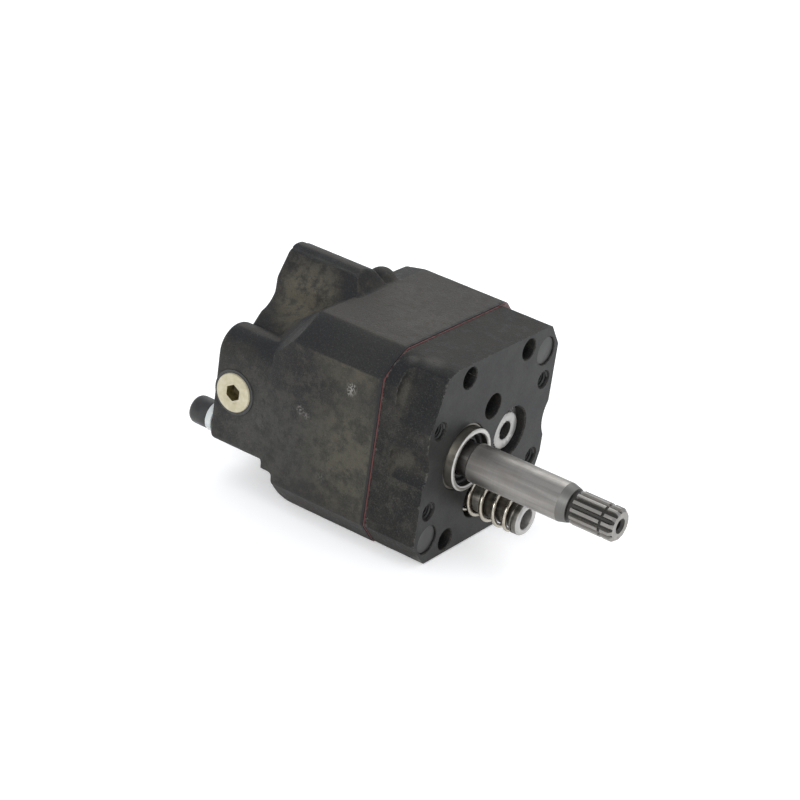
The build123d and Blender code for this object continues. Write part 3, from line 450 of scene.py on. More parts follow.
@dataclass(frozen=True)
class SteelFinish:
    """Turned or ground steel: fine rings round its axis, a faint oil tint, and painted dark
    reflection bands along its length.
    """

    name: str
    bright: Colour = (0.30, 0.287, 0.270)
    tint: Colour = (0.20, 0.165, 0.13)
    tint_share: float = 0.35
    rough: tuple[float, float] = (0.34, 0.46)
    ring_scale: float = 2600.0
    ring_depth: float = 0.000004
    reflection_streaks: float = 0.5
    across: float = 60.0
    band_scale: Place = (14.0, 230.0, 230.0)
    smear_scale: float = 70.0
    ring_share: float = 0.72
    reflection_streak_share: float = 0.5
    crevice_share: float = 0.25

    def build(self) -> bpy.types.Material:
        """Make the material."""
        sheet = NodeSheet(self.name)
        along = sheet.stretched((self.ring_scale, self.across, self.across))
        rings = sheet.noise(1.0, 3.0, 0.6, along)
        bands = sheet.noise(1.0, 4.0, 0.65, sheet.stretched(self.band_scale))
        smear = sheet.noise(self.smear_scale, 4.0, 0.6)
        colour = sheet.mix(sheet.span(rings, 0.35, 0.65, 0.0, 0.25), self.bright,
                           dimmed(self.bright, self.ring_share))
        oil_and_joint_shadow = sheet.times(sheet.span(smear, 0.46, 0.72), sheet.span(bands, 0.4, 0.62))
        colour = sheet.mix(sheet.times(oil_and_joint_shadow, self.tint_share), colour, self.tint)
        # Painted reflection: dark bands along the axis, for the dark gaps between the lamps.
        colour = sheet.mix(sheet.span(bands, 0.40, 0.68, 0.0, self.reflection_streaks), colour,
                           dimmed(self.bright, self.reflection_streak_share))
        colour = sheet.mix(sheet.edges(0.485, 0.44), colour,
                           dimmed(self.bright, self.crevice_share))
        rough = sheet.span(smear, 0.3, 0.7, *self.rough)
        normal = sheet.bump(rings, self.ring_depth, 0.5)
        return sheet.done(Base_Color=colour, Roughness=rough, Normal=normal, Metallic=1.0)


@dataclass(frozen=True)
class CoatFinish:
    """A thin plated, phosphated or moulded surface with cloudy colour and fine tooth."""

    name: str
    base: Colour
    cloud: Colour
    metallic: float = 0.0
    rough: tuple[float, float] = (0.35, 0.5)
    cloud_scale: float = 260.0
    tooth: float = 0.00003
    coat: float = 0.0
    subsurface: float = 0.0
    fine_scale: float = 3200.0
    worn_share: float = 0.35
    hollow_darkening_share: float = 0.35

    def build(self) -> bpy.types.Material:
        """Make the material."""
        sheet = NodeSheet(self.name)
        cloud = sheet.noise(self.cloud_scale, 4.0, 0.6)
        fine = sheet.noise(self.fine_scale, 2.0, 0.5)
        colour = sheet.mix(sheet.span(cloud, 0.34, 0.68), self.base, self.cloud)
        worn = tuple(min(1.0, c * 1.9 + 0.03) for c in self.base)
        rubbed = sheet.times(sheet.edges(0.52, 0.60), self.worn_share)
        colour = sheet.mix(rubbed, colour, worn)
        # Darker in hollows, found by pointiness.
        colour = sheet.mix(sheet.edges(0.47, 0.40), colour, dimmed(self.base, self.hollow_darkening_share))
        rough = sheet.span(cloud, 0.3, 0.7, *self.rough)
        normal = sheet.bump(fine, self.tooth, 0.6)
        return sheet.done(Base_Color=colour, Roughness=rough, Normal=normal,
                          Metallic=self.metallic, Coat_Weight=self.coat,
                          Subsurface_Weight=self.subsurface)


# Workbench
class Workbench:
    """Modelling steps that every sub-assembly shares."""

    @staticmethod
    def clear() -> None:
        """Leave edit mode and deselect everything."""
        if bpy.context.object is not None and bpy.context.object.mode != "OBJECT":
            bpy.ops.object.mode_set(mode="OBJECT")
        bpy.ops.object.select_all(action="DESELECT")

    @classmethod
    def pick(cls, *things: Thing) -> None:
        """Select these and make the first active."""
        cls.clear()
        for thing in things:
            thing.select_set(True)
        bpy.context.view_layer.objects.active = things[0]

    @classmethod
    def edit(cls, thing: Thing, steps: Callable[[], None]) -> None:
        """Run edit-mode steps on a piece with all of it selected.

        Args:
            thing: The piece.
            steps: What to do in edit mode.
        """
        cls.pick(thing)
        bpy.ops.object.mode_set(mode="EDIT")
        bpy.ops.mesh.select_all(action="SELECT")
        steps()
        bpy.ops.object.mode_set(mode="OBJECT")

    @classmethod
    def modify(cls, thing: Thing, kind: str, **settings: object) -> None:
        """Add a modifier and apply it.

        Args:
            thing: The piece.
            kind: The modifier's type.
            settings: The modifier's properties.
        """
        cls.pick(thing)
        step = thing.modifiers.new(kind.lower(), kind)
        for key, value in settings.items():
            setattr(step, key, value)
        bpy.ops.object.modifier_apply(modifier=step.name)

    @classmethod
    def place(cls, *things: Thing) -> None:
        """Put the place, turn and size of pieces into their meshes."""
        cls.pick(*things)
        bpy.ops.object.transform_apply(location=True, rotation=True, scale=True)

    @classmethod
    def settle(cls, thing: Thing, angle: float = 32.0) -> None:
        """Apply the piece's place and shade it smooth up to an angle in degrees."""
        cls.place(thing)
        bpy.ops.object.shade_smooth_by_angle(angle=math.radians(angle))

    @classmethod
    def break_edges(cls, thing: Thing, width: float, angle: float, **settings: object) -> None:
        """Bevel a piece's sharp edges.

        Args:
            thing: The piece.
            width: Width of the bevel, in metres.
            angle: Edges sharper than this are bevelled, in degrees.
            settings: Further properties of the bevel.
        """
        cls.modify(thing, "BEVEL", width=width, segments=2, limit_method="ANGLE",
                   angle_limit=math.radians(angle), use_clamp_overlap=True, **settings)

    @classmethod
    def weld(cls, thing: Thing) -> None:
        """Merge vertices that lie in one place."""
        cls.edit(thing, lambda: bpy.ops.mesh.remove_doubles(threshold=MERGE))

    @classmethod
    def merged_copy(cls, node: str, name: str) -> Thing:
        """Copy a CAD node's shape as one merged mesh.

        Args:
            node: The CAD node.
            name: The new piece's name.

        Returns:
            The new piece.
        """
        piece = bpy.data.objects.new(name, frame["nodes"][node].data.copy())
        piece.data.name = name
        piece.data.materials.clear()
        bpy.context.scene.collection.objects.link(piece)
        cls.weld(piece)
        return piece

    @classmethod
    def turned(cls, name: str, profile: Sequence[Station], centre: Place = (0.0, 0.0, 0.0),
               way: Turned = Turned.ALONG_X, steps: int = 96) -> Thing:
        """Spin a closed profile into a solid of revolution.

        Args:
            name: The piece's name.
            profile: Closed outline as (along the axis, radius) in millimetres.
            centre: Where the axis starts, in metres.
            way: How the axis lies.
            steps: Facets round the axis.

        Returns:
            The new piece.
        """
        cls.clear()
        bpy.ops.mesh.primitive_circle_add(vertices=len(profile), radius=0.01)
        piece = bpy.context.object
        piece.name = piece.data.name = name
        for vertex, (along, radius) in zip(piece.data.vertices, profile):
            vertex.co = (along * MM, radius * MM, 0.0)

        def spin() -> None:
            """Turn the outline once round, and close it."""
            bpy.ops.mesh.spin(steps=steps, angle=2 * math.pi, center=(0, 0, 0), axis=(1, 0, 0))
            bpy.ops.mesh.select_all(action="SELECT")
            bpy.ops.mesh.remove_doubles(threshold=MERGE)
            bpy.ops.mesh.dissolve_degenerate(threshold=MERGE / 2)
            bpy.ops.mesh.delete_loose()
            bpy.ops.mesh.select_all(action="SELECT")
            bpy.ops.mesh.normals_make_consistent(inside=False)

        cls.edit(piece, spin)
        piece.location = centre
        piece.rotation_euler = way.value
        cls.place(piece)
        return piece

    @classmethod
    def block(cls) -> Thing:
        """A plain cube of side 1, to be sized as a cutter."""
        cls.clear()
        bpy.ops.mesh.primitive_cube_add(size=1.0)
        return bpy.context.object

    @classmethod
    def joined(cls, name: str, things: Sequence[Thing]) -> Thing:
        """Join separate pieces into one."""
        cls.pick(*things)
        if len(things) > 1:
            bpy.ops.object.join()
        piece = bpy.context.object
        piece.name = piece.data.name = name
        return piece

    @classmethod
    def combine(cls, thing: Thing, other: Thing, how: Cut) -> None:
        """Cut, keep or add one closed shape with another, which is used up.

        Args:
            thing: The piece that stays.
            other: The shape used on it.
            how: What the shape does.
        """
        cls.modify(thing, "BOOLEAN", object=other, operation=how.value, solver="MANIFOLD")
        bpy.data.objects.remove(other)

    @classmethod
    def mill(cls, thing: Thing, rear_x: float, front_x: float) -> None:
        """Keep only what lies between two planes across X.

        Args:
            thing: The piece.
            rear_x: The rear plane, in millimetres.
            front_x: The front plane, in millimetres.
        """
        reach = 220.0
        outline = [(rear_x, 0.0), (rear_x, reach), (front_x, reach), (front_x, 0.0)]
        cls.combine(thing, cls.turned("blank", outline, steps=12), Cut.KEEP)

    @staticmethod
    def dress(thing: Thing, material: bpy.types.Material) -> None:
        """Give a piece one material."""
        thing.data.materials.clear()
        thing.data.materials.append(material)

    @staticmethod
    def hand_over(thing: Thing, body: Body, slot: str, *nodes: str) -> None:
        """Fix a piece to its body and hide the CAD nodes it stands for.

        Args:
            thing: The finished piece.
            body: The body it rides on.
            slot: The record's material slot; not used.
            nodes: The CAD nodes that it replaces.
        """
        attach(thing, body.value)
        if nodes:
            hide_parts(*nodes)
        log.info("%s: %d faces on %s", thing.name, len(thing.data.polygons), body.value)

    @staticmethod
    def paint(thing: Thing, material: bpy.types.Material, picks: Callable[[Face], bool]) -> None:
        """Give some faces of a piece a further material.

        Args:
            thing: The piece.
            material: The further material.
            picks: Says whether a face gets it.
        """
        thing.data.materials.append(material)
        for face in thing.data.polygons:
            if picks(face):
                face.material_index = len(thing.data.materials) - 1


# Castings
@dataclass
class Casting:
    """A sand casting with softened edges, then machined with crisp cutters."""

    node: str
    name: str
    slot: str
    finish: CastFinish
    voxel: float = 0.0009
    soften: int = 7
    triangles: int = 150_000
    swell: float = 0.00018
    ripple_size: float = 0.011
    stretch: tuple[tuple[float, float], ...] = ()

    def rough_shape(self) -> Thing:
        """Remesh and soften a copy of the CAD node, its machined ends left long.

        Returns:
            The unmachined casting.
        """
        piece = Workbench.merged_copy(self.node, self.name)
        for at, to in self.stretch:
            for vertex in piece.data.vertices:
                if abs(vertex.co.x - at) < SAME_PLACE:
                    vertex.co.x = to
        Workbench.modify(piece, "REMESH", mode="VOXEL", voxel_size=self.voxel)
        Workbench.modify(piece, "SMOOTH", factor=0.5, iterations=self.soften)
        ripple = bpy.data.textures.new(self.name + "_ripple", "CLOUDS")
        ripple.noise_scale = self.ripple_size
        ripple.noise_depth = 2
        Workbench.modify(piece, "DISPLACE", texture=ripple, texture_coords="LOCAL",
                         strength=self.swell, mid_level=1.0)
        share = self.triangles / (2 * len(piece.data.polygons))
        if share < 1.0:
            Workbench.modify(piece, "DECIMATE", ratio=share)
        return piece

    def machine(self, piece: Thing) -> None:
        """Cut the machined faces and holes. The plain casting has none."""

    def build(self) -> None:
        """Cast, machine, dress and hand over."""
        piece = self.rough_shape()
        self.machine(piece)
        Workbench.settle(piece, 38.0)
        Workbench.dress(piece, self.finish.build())
        Workbench.hand_over(piece, Body.CASING, self.slot, self.node)


@dataclass(frozen=True)
class Bore:
    """A round hole in the front face, placed from the plate's middle, in millimetres."""

    y: float
    z: float
    radius: float
    depth: float
    chamfer: float


@dataclass
class FrontPlate(Casting):
    """The front plate with its holes, bores and milled faces."""

    rear_x: float = -38.0
    mid_y: float = 25.5
    clearance: float = 0.03
    tapped: Bore = Bore(57.0, 27.5, 5.4, 25.0, 1.2)
    bolts: Bore = Bore(32.5, 56.0, 7.0, 19.0, 0.7)
    plugs: Bore = Bore(54.0, 48.5, 9.5, 6.0, 0.5)
    single: tuple[Bore, ...] = (
        Bore(0.0, 26.7, 8.5, 15.0, 0.4),
        Bore(25.5, 0.0, 17.3, 14.5, 1.0),
        Bore(-25.5, 0.0, 22.0, 14.0, 0.5),
        Bore(-3.0, -36.2, 13.7, 8.0, 0.6),
    )

    def hole(self, bore: Bore, y_side: int = 1, z_side: int = 1) -> Thing:
        """A cutter for one chamfered blind hole in the front face.

        Args:
            bore: The hole's place and sizes.
            y_side: -1 to mirror it across the plate's middle along Y.
            z_side: -1 to mirror it along Z.

        Returns:
            The cutter.
        """
        radius, past = bore.radius + self.clearance, 8.0
        mouth = radius + bore.chamfer
        outline = [(-bore.depth - radius * 0.5, 0.0), (-bore.depth, radius),
                   (-bore.chamfer, radius), (0.0, mouth), (past, mouth), (past, 0.0)]
        place = (0.0, (self.mid_y + y_side * bore.y) * MM, z_side * bore.z * MM)
        return Workbench.turned("cutter", outline, place, steps=112)

    def machine(self, piece: Thing) -> None:
        """Mill the faces, then bore and chamfer every hole."""
        Workbench.mill(piece, self.rear_x, 0.0)
        cutters = []
        for i in (-1, 1):
            for j in (-1, 1):
                cutters.append(self.hole(self.tapped, i, j))
                cutters.append(self.hole(self.bolts, i, j))
            cutters.append(self.hole(self.plugs, i, i))
        cutters.extend(self.hole(bore) for bore in self.single)
        Workbench.combine(piece, Workbench.joined("cutters", cutters), Cut.AWAY)


@dataclass
class MainHousing(Casting):
    """The main housing with its milled joint face, ports and spot faces."""

    front_x: float = -38.8
    rear_x: float = -165.0
    pressure: tuple[float, float, float] = (10.0, 15.5, 10.3)
    suction: tuple[float, float, float] = (8.0, -19.5, 15.6)
    port_depth: float = 24.0
    port_chamfer: float = 1.6
    plug: tuple[float, float, float] = (-148.6, -0.5, 15.2)
    spot_depth: float = 1.2
    wall_y: float = -43.0
    far_x: float = -220.0

    def machine(self, piece: Thing) -> None:
        """Mill the joint face, then cut the ports and the spot face."""
        Workbench.mill(piece, self.far_x, self.front_x)
        cutters, past = [], 8.0
        for y, z, r in (self.pressure, self.suction):
            mouth = r + self.port_chamfer
            outline = [(-past, 0.0), (-past, mouth), (0.0, mouth), (self.port_chamfer, r),
                       (self.port_depth, r), (self.port_depth, 0.0)]
            place = (self.rear_x * MM, y * MM, z * MM)
            cutters.append(Workbench.turned("cutter", outline, place))
        x, z, r = self.plug
        outline = [(-self.spot_depth, 0.0), (-self.spot_depth, r), (6.0, r), (6.0, 0.0)]
        place = (x * MM, self.wall_y * MM, z * MM)
        cutters.append(Workbench.turned("cutter", outline, place, Turned.ALONG_MINUS_Y))
        Workbench.combine(piece, Workbench.joined("cutters", cutters), Cut.AWAY)


# Small parts
@dataclass
class FinishedCopy:
    """A CAD node's own shape with broken edges, dressed and smoothed."""

    node: str
    body: Body
    slot: str
    material: bpy.types.Material
    bevel: float = 0.0002

    def build(self) -> None:
        """Copy, break the edges, dress and hand over. Without a bevel the mesh stays whole."""
        piece = Workbench.merged_copy(self.node, self.node + "_shown")

        def rejoin() -> None:
            """Join flat neighbours, so that bevels run along real edges."""
            bpy.ops.mesh.dissolve_limited(angle_limit=math.radians(0.4))

        if self.bevel:
            Workbench.edit(piece, rejoin)
            Workbench.break_edges(piece, self.bevel, 32.0, profile=0.6)
        Workbench.settle(piece)
        Workbench.dress(piece, self.material)
        Workbench.hand_over(piece, self.body, self.slot, self.node)


@dataclass
class CompensatorSpring(FinishedCopy):
    """The spring behind the compensator spool, which shortens as the spool moves."""

    fixed_x: float = -0.1638
    length: float = 14.5
    travel: float = 3.0

    def build(self) -> None:
        """Build the spring and give it a mesh of its own."""
        super().build()
        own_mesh(bpy.data.objects[self.node + "_shown"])


@dataclass
class TurnedPart:
    """A lathe part that stands for one CAD node."""

    node: str
    body: Body
    slot: str
    material: bpy.types.Material
    outline: tuple[Station, ...]
    axis: tuple[float, float] = (0.0, 0.0)
    bevel: float = 0.0002
    steps: int = 128
    smooth: float = 32.0

    def shape(self) -> Thing:
        """Turn the outline.

        Returns:
            The plain lathe shape.
        """
        place = (0.0, self.axis[0] * MM, self.axis[1] * MM)
        return Workbench.turned(self.node + "_turned", self.outline, place, steps=self.steps)

    def paint(self, piece: Thing) -> None:
        """Give some faces a further material. A plain turned part has one only."""

    def build(self) -> None:
        """Turn, break the edges, dress and hand over."""
        piece = self.shape()
        Workbench.break_edges(piece, self.bevel, 28.0)
        Workbench.settle(piece, self.smooth)
        Workbench.dress(piece, self.material)
        self.paint(piece)
        Workbench.hand_over(piece, self.body, self.slot, self.node)


@dataclass
class Sleeve(TurnedPart):
    """The ground sleeve round the shaft: bright on its nose, with painted shade and a brown tint on
    its side.
    """

    # Painted shade with a brown tint on the sleeve's side.
    side: SteelFinish = SteelFinish("shaded_sleeve_side", bright=(0.155, 0.145, 0.125),
                                    tint=(0.06, 0.05, 0.035), tint_share=0.8,
                                    rough=(0.34, 0.5), reflection_streaks=0.1)
    nose_x: float = 5.1

    def paint(self, piece: Thing) -> None:
        """Give all but the rounded nose the darker side steel, as painted shade."""
        Workbench.paint(piece, self.side.build(), lambda face: face.center.x < self.nose_x * MM)


@dataclass
class SplinedShaft(TurnedPart):
    """The drive shaft: turned, then hobbed at both ends and slotted for its key."""

    tip: tuple[float, float, float, float, int] = (84.5, 120.0, 9.0, 10.9, 13)
    inner: tuple[float, float, float, float, int] = (-107.0, -66.0, 11.6, 13.0, 16)
    key: tuple[float, float, float, float] = (-30.6, -17.4, 3.02, 9.5)
    taper: tuple[float, float] = (75.6, 81.3)
    low_from_x: float = 81.2
    undercut_x: float = 84.7
    ring_groove: tuple[float, float] = (104.4, 106.6)
    end_face_x: float = 113.9
    groove_r: float = 10.2
    gap_r: float = 9.5
    hole_r: float = 4.9
    # Painted shade in the gaps, grooves and centre hole ahead of the taper.
    low_shade: CoatFinish = CoatFinish("spline_low_shade", (0.016, 0.015, 0.013), (0.03, 0.028, 0.024),
                                   metallic=0.3, rough=(0.4, 0.6))
    frosted: SteelFinish = SteelFinish("frosted_taper", bright=(0.17, 0.168, 0.16),
                                       rough=(0.5, 0.6), reflection_streaks=0.1)

    def gap(self, x0: float, x1: float, root: float, major: float, count: int) -> Thing:
        """One cutter for the gap between two teeth, on the positive Y side.

        Args:
            x0: Where the gap starts along the shaft.
            x1: Where it ends.
            root: Radius of its floor.
            major: Radius over the teeth.
            count: Number of teeth.

        Returns:
            The cutter. All sizes are in millimetres.
        """
        half, past = math.pi / count, 1.2
        low, high = root * math.sin(half * 0.34), major * math.sin(half * 0.66)
        over = high + (high - low) * 0.5
        piece = Workbench.block()
        for vertex in piece.data.vertices:
            wide, far = (over, major + past) if vertex.co.y > 0 else (low, root)
            along = x1 if vertex.co.x > 0 else x0
            vertex.co = (along * MM, far * MM, math.copysign(wide, vertex.co.z) * MM)
        return piece

    def shape(self) -> Thing:
        """Turn the shaft, then cut the splines and the key slot."""
        piece = super().shape()
        cutters = []
        for x0, x1, root, major, count in (self.tip, self.inner):
            for i in range(count):
                cutter = self.gap(x0, x1, root, major, count)
                cutter.rotation_euler = (2 * math.pi * (i + 0.5) / count, 0.0, 0.0)
                cutters.append(cutter)
        Workbench.place(*cutters)
        Workbench.combine(piece, Workbench.joined("gaps", cutters), Cut.AWAY)
        x0, x1, half, floor = self.key
        slot, tall = Workbench.block(), 8.0
        slot.location = ((x0 + x1) / 2 * MM, 0.0, (floor + tall / 2) * MM)
        slot.scale = ((x1 - x0) * MM, 2 * half * MM, tall * MM)
        Workbench.combine(piece, slot, Cut.AWAY)
        return piece

    def is_low(self, face: Face) -> bool:
        """Whether a face lies in the centre hole, a groove or between the teeth.

        Args:
            face: A face of the shaft.

        Returns:
            True in the low places ahead of the taper.
        """
        x, r = face.center.x / MM, math.hypot(face.center.y, face.center.z) / MM
        start, end = self.ring_groove
        in_groove = r < self.groove_r and (x < self.undercut_x or start < x < end)
        in_gap = r < self.gap_r and x < self.end_face_x
        return self.low_from_x < x and (r < self.hole_r or in_groove or in_gap)

    def is_taper(self, face: Face) -> bool:
        """Whether a face belongs to the taper behind the spline."""
        start, end = self.taper
        return start < face.center.x / MM < end and not self.is_low(face)

    def paint(self, piece: Thing) -> None:
        """Paint shade into the low places and frost the taper."""
        Workbench.paint(piece, self.low_shade.build(), self.is_low)
        Workbench.paint(piece, self.frosted.build(), self.is_taper)


@dataclass
class ReliefValve:
    """The spring-loaded plunger below the shaft."""

    axis: tuple[float, float] = (22.5, -36.2)
    seat_x: float = -9.0
    head_x: float = 32.0
    tip_x: float = 38.6
    stem_r: float = 8.5
    head_r: float = 11.2
    hole_r: float = 6.8
    coil_r: float = 10.6
    wire_r: float = 1.45
    turns: float = 5.2
    end_turns: float = 0.85
    travel: float = 0.010
    seat_gap: float = 0.05
    end_slack: float = 1.02
    edge: float = 0.00015
    steel: SteelFinish = SteelFinish("oily_turned_steel", bright=(0.19, 0.18, 0.16),
                                     tint=(0.08, 0.065, 0.045), rough=(0.3, 0.45),
                                     ring_scale=1500.0)
    # Bright steel for the faced end; inside the hole it is painted light.
    face: SteelFinish = SteelFinish("faced_steel_and_hole_light", bright=(0.46, 0.455, 0.44), rough=(0.4, 0.55),
                                    tint_share=0.2, reflection_streaks=0.1)
    wire: SteelFinish = SteelFinish("spring_wire", bright=(0.50, 0.465, 0.40),
                                    tint=(0.20, 0.14, 0.07), tint_share=0.55, rough=(0.22, 0.32),
                                    ring_scale=500.0, ring_depth=0.0000005, reflection_streaks=0.1)

    def plunger(self) -> None:
        """Turn the hollow plunger with its grooved head."""
        s, h, head, tip = self.stem_r, self.hole_r, self.head_x, self.tip_x
        outline = [
            (-13.0, 0.0), (-13.0, s - 0.8), (-12.2, s), (8.0, s), (8.0, s - 0.9), (10.5, s - 0.9),
            (10.5, s), (head, s), (head, self.head_r - 0.3), (head + 0.3, self.head_r),
            (head + 1.5, self.head_r), (head + 1.5, self.head_r - 0.7),
            (head + 2.1, self.head_r - 0.7), (head + 2.1, self.head_r),
            (tip - 1.5, self.head_r), (tip, self.head_r - 1.3), (tip, h + 0.7), (tip - 0.7, h),
            (3.0, h), (0.5, 0.0),
        ]
        place = (0.0, self.axis[0] * MM, self.axis[1] * MM)
        piece = Workbench.turned("relief_plunger_turned", outline, place, steps=128)
        Workbench.break_edges(piece, self.edge, 30.0)
        Workbench.settle(piece)
        Workbench.dress(piece, self.steel.build())
        Workbench.paint(piece, self.face.build(), self.picks_face_and_lit_hole)
        Workbench.hand_over(piece, Body.RELIEF, "plunger_steel", "relief_plunger")

    def picks_face_and_lit_hole(self, face: Face) -> bool:
        """Whether a face belongs to the plunger's bright end or its hole, where the bright steel is
        painted light.
        """
        along, y, z = face.center / MM
        in_hole = math.hypot(y - self.axis[0], z - self.axis[1]) < self.hole_r + 0.3
        return along > self.tip_x - 1.6 and face.normal.x > 0.6 or along > 20.0 and in_hole

    def line(self) -> list[Place]:
        """Centre line of the spring, with closed end turns.

        Returns:
            Points in metres.
        """
        low = self.seat_x + self.seat_gap + self.wire_r
        high = self.head_x - self.seat_gap - self.wire_r
        closed = 2 * self.wire_r * self.end_slack
        open_turns = self.turns - 2 * self.end_turns
        pitch = (high - low - 2 * self.end_turns * closed) / open_turns
        points, x, steps = [], low, 40
        total = int(self.turns * steps)
        for i in range(total + 1):
            turn = 2 * math.pi * i / steps
            points.append((x * MM, (self.axis[0] + self.coil_r * math.cos(turn)) * MM,
                           (self.axis[1] + self.coil_r * math.sin(turn)) * MM))
            done = (i + 0.5) / steps
            ends = done < self.end_turns or done > self.turns - self.end_turns
            x += (closed if ends else pitch) / steps
        return points

    def spring(self) -> None:
        """Wind the spring and hand it over with a mesh of its own."""
        curve = bpy.data.curves.new("relief_spring_coil", "CURVE")
        curve.dimensions = "3D"
        run = curve.splines.new("POLY")
        points = self.line()
        run.points.add(len(points) - 1)
        for point, place in zip(run.points, points):
            point.co = (*place, 1.0)
        curve.bevel_depth = self.wire_r * MM
        curve.bevel_resolution = 5
        curve.use_fill_caps = True
        piece = bpy.data.objects.new("relief_spring_coil", curve)
        bpy.context.scene.collection.objects.link(piece)
        Workbench.pick(piece)
        bpy.ops.object.convert(target="MESH")
        piece = bpy.context.object
        Workbench.weld(piece)
        Workbench.settle(piece, 50.0)
        Workbench.dress(piece, self.wire.build())
        Workbench.hand_over(piece, Body.CASING, "relief_spring_steel", "relief_spring")
        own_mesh(piece)

    def build(self) -> None:
        """Make the plunger and its spring."""
        self.plunger()
        self.spring()


@dataclass
class SidePlug:
    """The plated collar plug in the side of the housing."""

    place: Place = (-0.1486, -0.043, -0.0005)
    collar_r: float = 13.0
    proud: float = 1.6
    socket_af: float = 10.0
    socket_deep: float = 0.012
    edge: float = 0.00018
    finish: CoatFinish = CoatFinish("yellow_zinc", (0.40, 0.36, 0.235), (0.50, 0.455, 0.33),
                                    rough=(0.32, 0.46), cloud_scale=180.0, coat=0.15)
    inside: CoatFinish = CoatFinish("yellow_zinc_socket", (0.13, 0.10, 0.035),
                                    (0.06, 0.05, 0.02), metallic=0.3, rough=(0.3, 0.5))

    def build(self) -> None:
        """Turn the collar, broach the hexagon and dress both."""
        r, top = self.collar_r, self.proud
        recess = self.socket_af * 0.60 + 0.9
        outline = [(-12.0, 0.0), (-12.0, 8.9), (-1.1, 8.9), (-1.1, r), (top - 0.9, r),
                   (top - 0.25, r - 0.25), (top, r - 0.9), (top, recess + 0.5),
                   (top - 0.25, recess), (top - 0.55, recess - 0.5), (top - 0.55, 0.0)]
        piece = Workbench.turned("side_plug_turned", outline, self.place, Turned.ALONG_MINUS_Y)
        Workbench.clear()
        x, y, z = self.place
        bpy.ops.mesh.primitive_cylinder_add(
            vertices=6, radius=self.corner(), depth=self.socket_deep,
            location=(x, y + 0.0005, z), rotation=(math.pi / 2, 0.0, 0.0))
        Workbench.combine(piece, bpy.context.object, Cut.AWAY)
        Workbench.break_edges(piece, self.edge, 30.0)
        Workbench.settle(piece)
        Workbench.dress(piece, self.finish.build())
        Workbench.paint(piece, self.inside.build(), self.is_socket)
        Workbench.hand_over(piece, Body.CASING, "plug_zinc", "side_plug")

    def corner(self) -> float:
        """Distance from the hexagon's middle to its corners, in metres."""
        return self.socket_af * MM / math.sqrt(3)

    def is_socket(self, face: Face) -> bool:
        """Whether a face lies in the hexagon."""
        away = face.center - Vector(self.place)
        return math.hypot(away.x, away.z) < self.corner() * 1.01 and away.y > -0.0009


@dataclass
class TappedThreads:
    """Thread ridges in the four tapped mounting holes."""

    mid_y: float = 25.5
    half_y: float = 57.0
    half_z: float = 27.5
    root_r: float = 5.4
    crest_r: float = 4.75
    pitch: float = 1.75
    start: float = -1.6
    turns: int = 12

    def one(self) -> Thing:
        """Wind one ridge round the X axis, from just inside the front face."""
        Workbench.clear()
        bpy.ops.mesh.primitive_circle_add(vertices=3, radius=0.001)
        piece = bpy.context.object
        half = self.pitch * 0.46
        corners = [(-half, self.root_r + 0.1), (half, self.root_r + 0.1), (0.0, self.crest_r)]
        for vertex, (along, radius) in zip(piece.data.vertices, corners):
            vertex.co = ((along + self.start) * MM, radius * MM, 0.0)
        Workbench.modify(piece, "SCREW", axis="X", angle=2 * math.pi, steps=32, render_steps=32,
                         screw_offset=-self.pitch * MM, iterations=self.turns,
                         use_smooth_shade=False)
        return piece

    def build(self, material: bpy.types.Material) -> None:
        """Copy the ridge to the four holes and hand it over."""
        threads = []
        for i in (-1, 1):
            for j in (-1, 1):
                piece = self.one()
                piece.location = (0.0, (self.mid_y + i * self.half_y) * MM, j * self.half_z * MM)
                threads.append(piece)
        piece = Workbench.joined("tapped_threads", threads)
        Workbench.settle(piece, 30.0)
        Workbench.edit(piece, lambda: bpy.ops.mesh.normals_make_consistent(inside=False))
        Workbench.dress(piece, material)
        Workbench.hand_over(piece, Body.CASING, "plate_iron")


@dataclass
class SealantSqueeze:
    """Beads of sealing compound squeezed out along the joint."""

    joint_x: float = -38.4
    mid_y: float = 25.5
    side_from: float = 66.5
    finish: CoatFinish = CoatFinish("sealant_red", (0.085, 0.016, 0.015), (0.045, 0.012, 0.012),
                                    rough=(0.35, 0.6), cloud_scale=420.0, tooth=0.0001)
    blobs: tuple[tuple[float, float, float, float], ...] = (
        (84.5, 65.9, 2.6, 0.7), (80.0, 65.8, 2.4, 0.5), (60.0, 65.7, 3.5, 0.4),
        (40.0, 65.7, 4.5, 0.35), (10.0, 65.7, 3.0, 0.35), (-42.6, 44.0, 2.6, 0.35),
    )

    def build(self, material: bpy.types.Material) -> None:
        """Press out a few flattened beads."""
        beads = []
        for y, z, long, thick in self.blobs:
            Workbench.clear()
            bpy.ops.mesh.primitive_uv_sphere_add(segments=20, ring_count=12, radius=0.001)
            bead = bpy.context.object
            side = abs(y - self.mid_y) > self.side_from
            bead.scale = (thick, thick if side else long, long if side else thick)
            bead.location = (self.joint_x * MM, y * MM, z * MM)
            beads.append(bead)
        piece = Workbench.joined("sealant_beads", beads)
        Workbench.settle(piece, 60.0)
        Workbench.dress(piece, material)
        Workbench.hand_over(piece, Body.CASING, "gasket_sealant")


